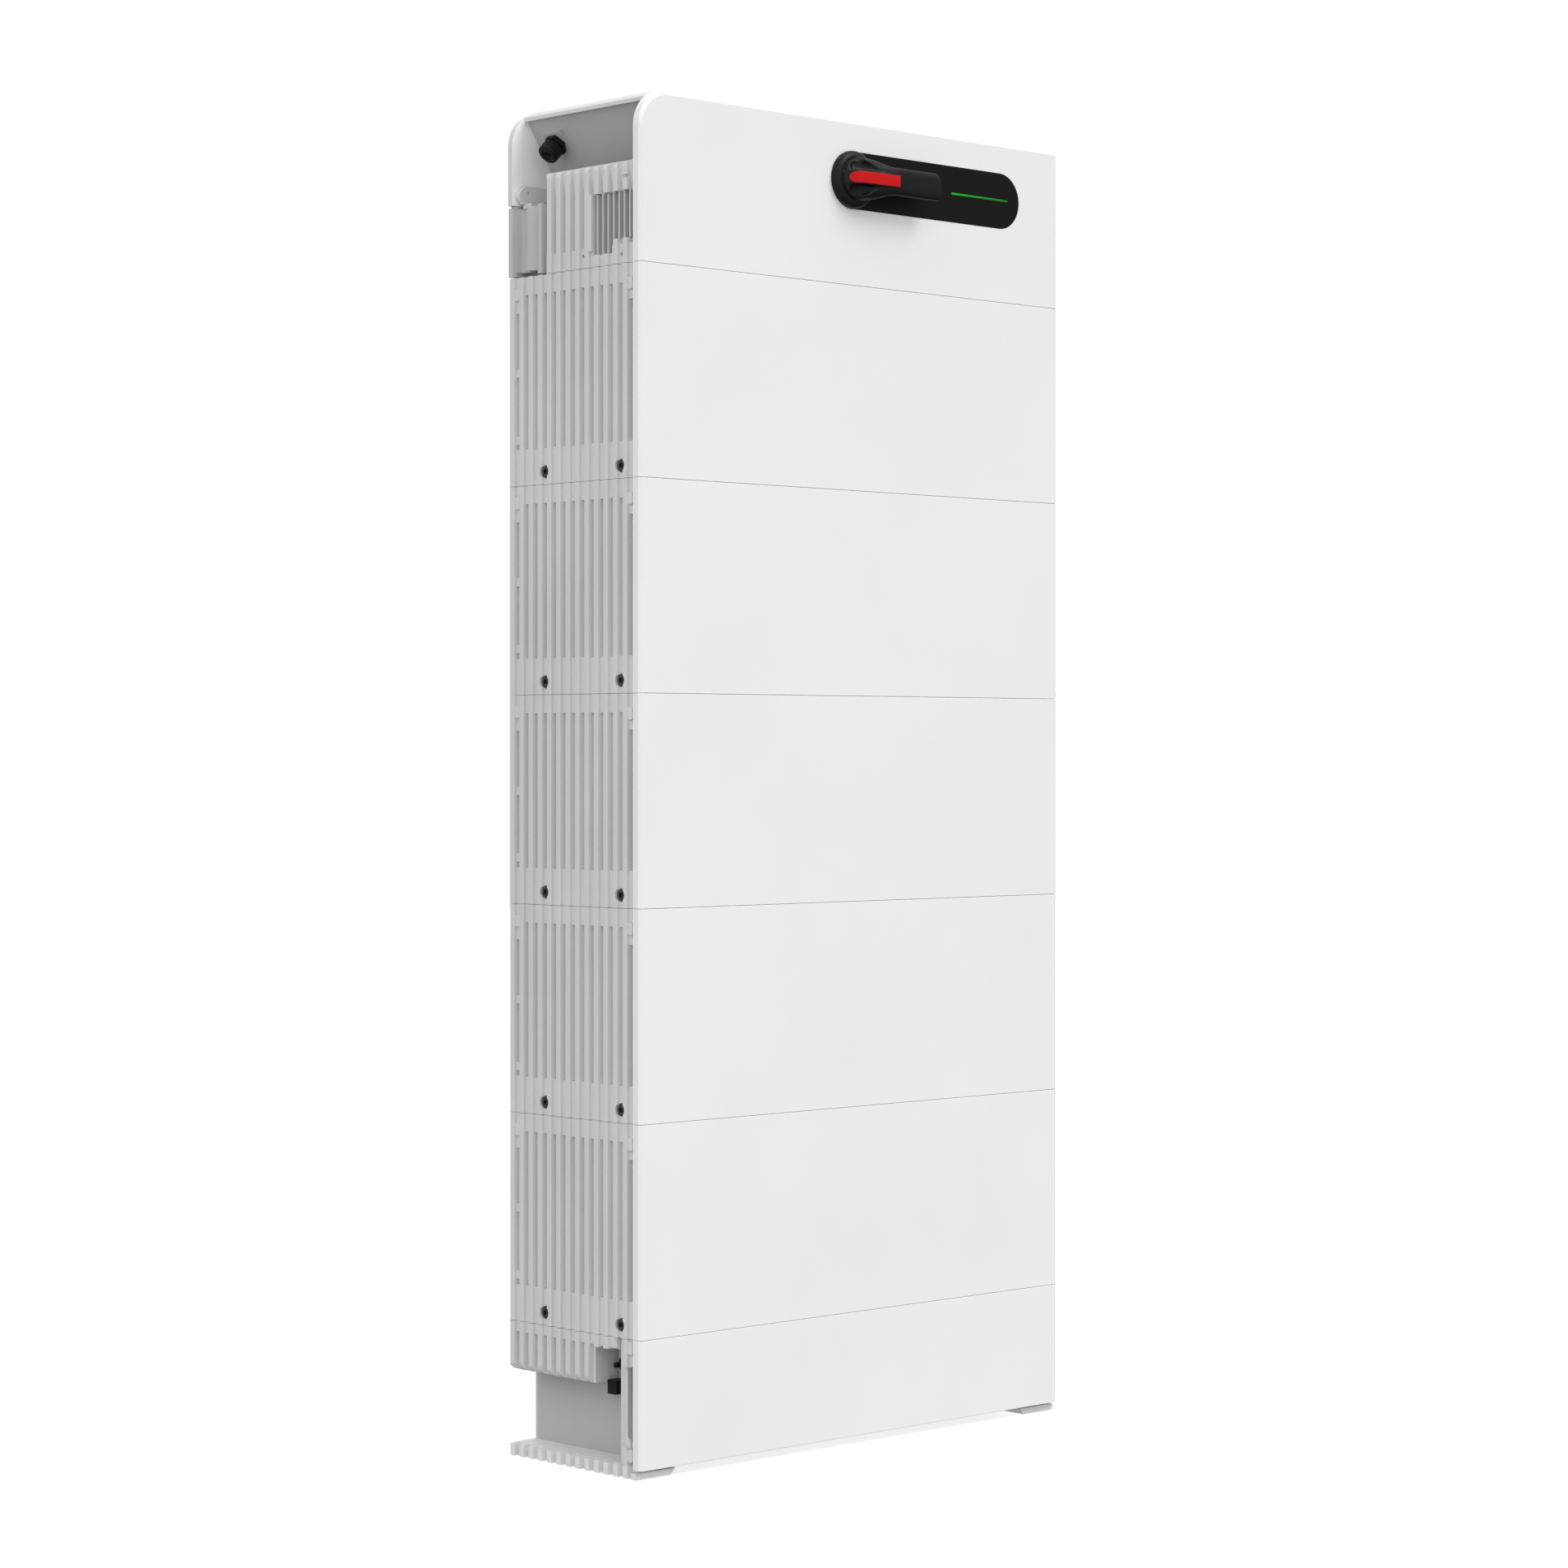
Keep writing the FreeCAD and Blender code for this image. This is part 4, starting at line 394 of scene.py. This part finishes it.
def grip_form(u, v, h):
    """Barrel grip that flares into the hub; its back lifts off the panel for the fingers."""
    flare = ease((FLARE_END - u) / FLARE_LENGTH)
    half = GRIP_HALF + FLARE_WIDTH * flare
    back = GRIP_BACK - BACK_DROP * ease((BACK_END - u) / BACK_LENGTH)
    front = GRIP_TOP - FLARE_DROP * flare
    middle = (front + back) / 2
    deep = (front - back) / 2
    power = BARREL_POWER - FLARE_ROUNDING * flare
    barrel = ((np.abs(v) / half) ** power + (np.abs(h - middle) / deep) ** power) ** (1 / power) - 1
    barrel = barrel * np.minimum(half, deep)
    tip = TIP_RADIUS + TIP_GROWTH * ease(v / GRIP_HALF)
    return smooth_max(smooth_max(barrel, u - GRIP_REACH, tip), GRIP_START - u, GRIP_START_BLEND)


def pocket_form(u, v, h):
    """Tapering hollow beside the spine, from the hub's ring up to the top of the grip."""
    start = np.array(POCKET_START)
    way = np.array(POCKET_END) - start
    off = (u - start[0], np.abs(v) - start[1], h - start[2])
    along = (off[0] * way[0] + off[1] * way[1] + off[2] * way[2]) / way.dot(way)
    along = np.clip(along, 0.0, 1.0)
    gap = np.sqrt(sum((off[k] - along * way[k]) ** 2 for k in range(3)))
    return gap - (POCKET_WIDE * (1 - along) ** POCKET_TAPER + POCKET_NARROW)


def handle_form(u, v, h):
    """Whole handle as one implicit solid, negative inside."""
    radius = np.hypot(u, v)
    body = smooth_min(hub_form(radius, h), grip_form(u, v, h), HUB_TO_GRIP)
    body = smooth_max(body, -pocket_form(u, v, h), POCKET_EDGE)
    spine = smooth_max(np.abs(v) - SPINE_HALF, (h - spine_height(u)) * SPINE_SLOPE, SPINE_EDGE)
    spine = smooth_max(spine, u - SPINE_END, SPINE_END_BLEND)
    spine = np.maximum(spine, radius - RING_RADIUS - ease(u / SPINE_FREE_FROM) * SPINE_FREE_BY)
    body = smooth_min(body, spine, SPINE_FOOT)
    return np.maximum(body, HUB_BASE - h)


def surface_net(field):
    """Corners, in cells, and four-sided faces of the skin where a sampled form changes sign."""
    cells = tuple(n - 1 for n in field.shape)
    total = np.zeros(cells + (3,))
    count = np.zeros(cells)
    for axis in range(3):
        for a in (0, 1):
            for b in (0, 1):
                low = [a, b]
                low.insert(axis, 0)
                high = list(low)
                high[axis] = 1
                first = field[tuple(slice(o, o + n) for o, n in zip(low, cells))]
                second = field[tuple(slice(o, o + n) for o, n in zip(high, cells))]
                cross = (first < 0) != (second < 0)
                share = np.where(cross, first / np.where(cross, first - second, 1.0), 0.0)
                for k in range(3):
                    total[..., k] += cross * (share if k == axis else low[k])
                count += cross
    active = count > 0
    number = np.full(cells, -1)
    number[active] = np.arange(active.sum())
    points = np.argwhere(active) + total[active] / count[active][:, None]
    inside = field < 0
    faces = []
    for axis in range(3):
        others = [k for k in range(3) if k != axis]
        ahead = np.take(inside, range(1, field.shape[axis]), axis)
        behind = np.take(inside, range(field.shape[axis] - 1), axis)
        spots = np.argwhere(ahead != behind)
        spots = spots[(spots[:, others[0]] > 0) & (spots[:, others[1]] > 0)
                      & (spots[:, others[0]] < cells[others[0]]) & (spots[:, others[1]] < cells[others[1]])]
        ring = []
        for a, b in ((1, 1), (0, 1), (0, 0), (1, 0)):
            near = spots.copy()
            near[:, others[0]] -= a
            near[:, others[1]] -= b
            ring.append(number[tuple(near.T)])
        ring = np.stack(ring, 1)
        outward = behind[tuple(spots.T)] != (axis == 1)
        ring[~outward] = ring[~outward][:, ::-1]
        faces += ring.tolist()
    return points, faces


def mesh_piece(name, points, faces, slot):
    """New visible piece from world points, smooth shaded, with outward faces and its slot's finish."""
    mesh = bpy.data.meshes.new(name)
    mesh.from_pydata([tuple(p) for p in points], [], faces)
    shape = bmesh.new()
    shape.from_mesh(mesh)
    bmesh.ops.recalc_face_normals(shape, faces=shape.faces)
    shape.to_mesh(mesh)
    shape.free()
    for face in mesh.polygons:
        face.use_smooth = True
    mesh.materials.append(FINISHES[slot])
    piece = bpy.data.objects.new(name, mesh)
    scene.collection.objects.link(piece)
    return piece


def build_handle():
    """Hub, grip, spine and pockets as one skin."""
    us = np.arange(-HUB_RADIUS - MARGIN, GRIP_REACH + MARGIN, CELL)
    vs = np.arange(-HUB_RADIUS - MARGIN, HUB_RADIUS + MARGIN, CELL)
    hs = np.arange(HUB_BASE - MARGIN_UNDER, GRIP_TOP + MARGIN_OVER, CELL)
    field = handle_form(*np.meshgrid(us, vs, hs, indexing="ij"))
    points, faces = surface_net(field)
    world = [handle_point(us[0] + p[0] * CELL, vs[0] + p[1] * CELL, hs[0] + p[2] * CELL) for p in points]
    piece = mesh_piece("isolator_grip", world, faces, "handle_plastic")
    shape = bmesh.new()
    shape.from_mesh(piece.data)
    for _ in range(SMOOTH_PASSES):
        bmesh.ops.smooth_vert(shape, verts=shape.verts, factor=SMOOTH_FACTOR, use_axis_x=True,
                              use_axis_y=True, use_axis_z=True)
    shape.to_mesh(piece.data)
    shape.free()
    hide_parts("isolator_handle")
    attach(piece, "isolator_switch")


def build_marker():
    """Red bar that follows the spine, round at the hub end and square at the other."""
    rows = []
    for i in range(MARKER_STATIONS + 1):
        u = MARKER_FROM + (MARKER_TO - MARKER_FROM) * (i / MARKER_STATIONS) ** MARKER_CROWDING
        u = max(u, MARKER_FROM + MARKER_FIRST)
        inset = max(0.0, 1 - (u - MARKER_FROM) / MARKER_HALF)
        half = MARKER_HALF * math.sqrt(1 - inset * inset)
        row = []
        for j in range(MARKER_LANES + 1):
            v = half * (2 * j / MARKER_LANES - 1)
            crown = MARKER_CROWN * (v / MARKER_HALF) ** 2
            row.append((u, v, float(spine_height(u)) + MARKER_LIFT - crown))
        rows.append(row)
    top = [handle_point(*p) for row in rows for p in row]
    under = [handle_point(u, v, h - MARKER_THICK) for row in rows for u, v, h in row]
    width = MARKER_LANES + 1
    count = len(top)
    faces = []
    for i in range(MARKER_STATIONS):
        for j in range(MARKER_LANES):
            a = i * width + j
            quad = (a, a + 1, a + width + 1, a + width)
            faces.append(quad)
            faces.append(tuple(k + count for k in reversed(quad)))
    rim = list(range(width)) + [i * width + MARKER_LANES for i in range(1, MARKER_STATIONS + 1)]
    rim += [MARKER_STATIONS * width + j for j in range(MARKER_LANES - 1, -1, -1)]
    rim += [i * width for i in range(MARKER_STATIONS - 1, 0, -1)]
    for a, b in zip(rim, rim[1:] + rim[:1]):
        faces.append((a, a + count, b + count, b))
    piece = mesh_piece("isolator_marker_bar", top + under, faces, "marker_red")
    soften = piece.modifiers.new("edges", "BEVEL")
    soften.width = MARKER_EDGE * MM
    soften.segments = EDGE_SEGMENTS
    soften.limit_method = "ANGLE"
    soften.angle_limit = math.radians(EDGE_ANGLE)
    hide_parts("handle_marker")
    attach(piece, "isolator_switch")


build_handle()
build_marker()


# ---------------------------------------------------------------- camera, light and floor

CAMERA_AT = (-3.5545, -3.740, 0.910)
CAMERA_TURN = -43.29        # degrees; the camera looks level
CAMERA_LENS = 88.55
CAMERA_SENSOR = 36.0
CAMERA_SHIFT_Y = -0.0192

SUN_DISTANCE = 3.0
KEY_SUN = (1.26, (0.35, -0.70, 0.95), 28.0)         # strength, towards, spread in degrees
BACK_SUN = (0.65, (0.70, 0.75, 0.35), 60.0)

TENT_TILT = (-0.38, -0.30, 0.50)
TENT_LEVEL = 0.59
WHITE = (1, 1, 1, 1)

FLOOR_HALF = 14
FLOOR_CELLS = 8
FLOOR_GLOW = 0.72           # keeps the shadow on the floor faint

cam_data = bpy.data.cameras.new("camera")
cam = bpy.data.objects.new("camera", cam_data)
scene.collection.objects.link(cam)
cam_data.lens = CAMERA_LENS
cam_data.sensor_width = CAMERA_SENSOR
cam_data.shift_y = CAMERA_SHIFT_Y
cam_data.dof.use_dof = False
cam.location = CAMERA_AT
cam.rotation_euler = (math.radians(90), 0, math.radians(CAMERA_TURN))
scene.camera = cam
scene.view_settings.view_transform = "Standard"


def soft_sun(name, strength, towards, spread):
    """Even light from one side; towards points from the object to the light."""
    data = bpy.data.lights.new(name, "SUN")
    data.energy = strength
    data.angle = math.radians(spread)
    obj = bpy.data.objects.new(name, data)
    scene.collection.objects.link(obj)
    obj.location = Vector(towards) * SUN_DISTANCE
    obj.rotation_euler = Vector(towards).to_track_quat("Z", "Y").to_euler()


def studio_world():
    """Light tent: brighter above and at the front left, dimmer below; plain white where seen directly."""
    world = bpy.data.worlds.new("studio")
    scene.world = world
    world.use_nodes = True
    nodes, links = world.node_tree.nodes, world.node_tree.links
    place = nodes.new("ShaderNodeTexCoord")
    tilt = nodes.new("ShaderNodeVectorMath")
    tilt.operation = "DOT_PRODUCT"
    tilt.inputs[1].default_value = TENT_TILT
    links.new(place.outputs["Generated"], tilt.inputs[0])
    level = nodes.new("ShaderNodeMath")
    level.operation = "ADD"
    level.inputs[1].default_value = TENT_LEVEL
    links.new(tilt.outputs["Value"], level.inputs[0])
    tent = nodes["Background"]
    links.new(level.outputs["Value"], tent.inputs["Strength"])
    tent.inputs["Color"].default_value = WHITE
    plain = nodes.new("ShaderNodeBackground")
    plain.inputs["Color"].default_value = WHITE
    seen = nodes.new("ShaderNodeLightPath")
    pick = nodes.new("ShaderNodeMixShader")
    links.new(seen.outputs["Is Camera Ray"], pick.inputs["Fac"])
    links.new(tent.outputs["Background"], pick.inputs[1])
    links.new(plain.outputs["Background"], pick.inputs[2])
    links.new(pick.outputs["Shader"], nodes["World Output"].inputs["Surface"])


def build_floor():
    """Large pale sheet under the object, which sends no light back onto it."""
    mesh = bpy.data.meshes.new("floor")
    shape = bmesh.new()
    bmesh.ops.create_grid(shape, x_segments=FLOOR_CELLS, y_segments=FLOOR_CELLS, size=FLOOR_HALF)
    shape.to_mesh(mesh)
    shape.free()
    floor = bpy.data.objects.new("floor", mesh)
    scene.collection.objects.link(floor)
    mesh.materials.append(painted("floor_paper", (0.93, 0.93, 0.93), 0.9, bump=0.1, wear_and_highlight=0.0,
                                  glow=FLOOR_GLOW))
    floor.visible_diffuse = False
    floor.visible_glossy = False


soft_sun("key", *KEY_SUN)
soft_sun("back_fill", *BACK_SUN)
studio_world()
build_floor()
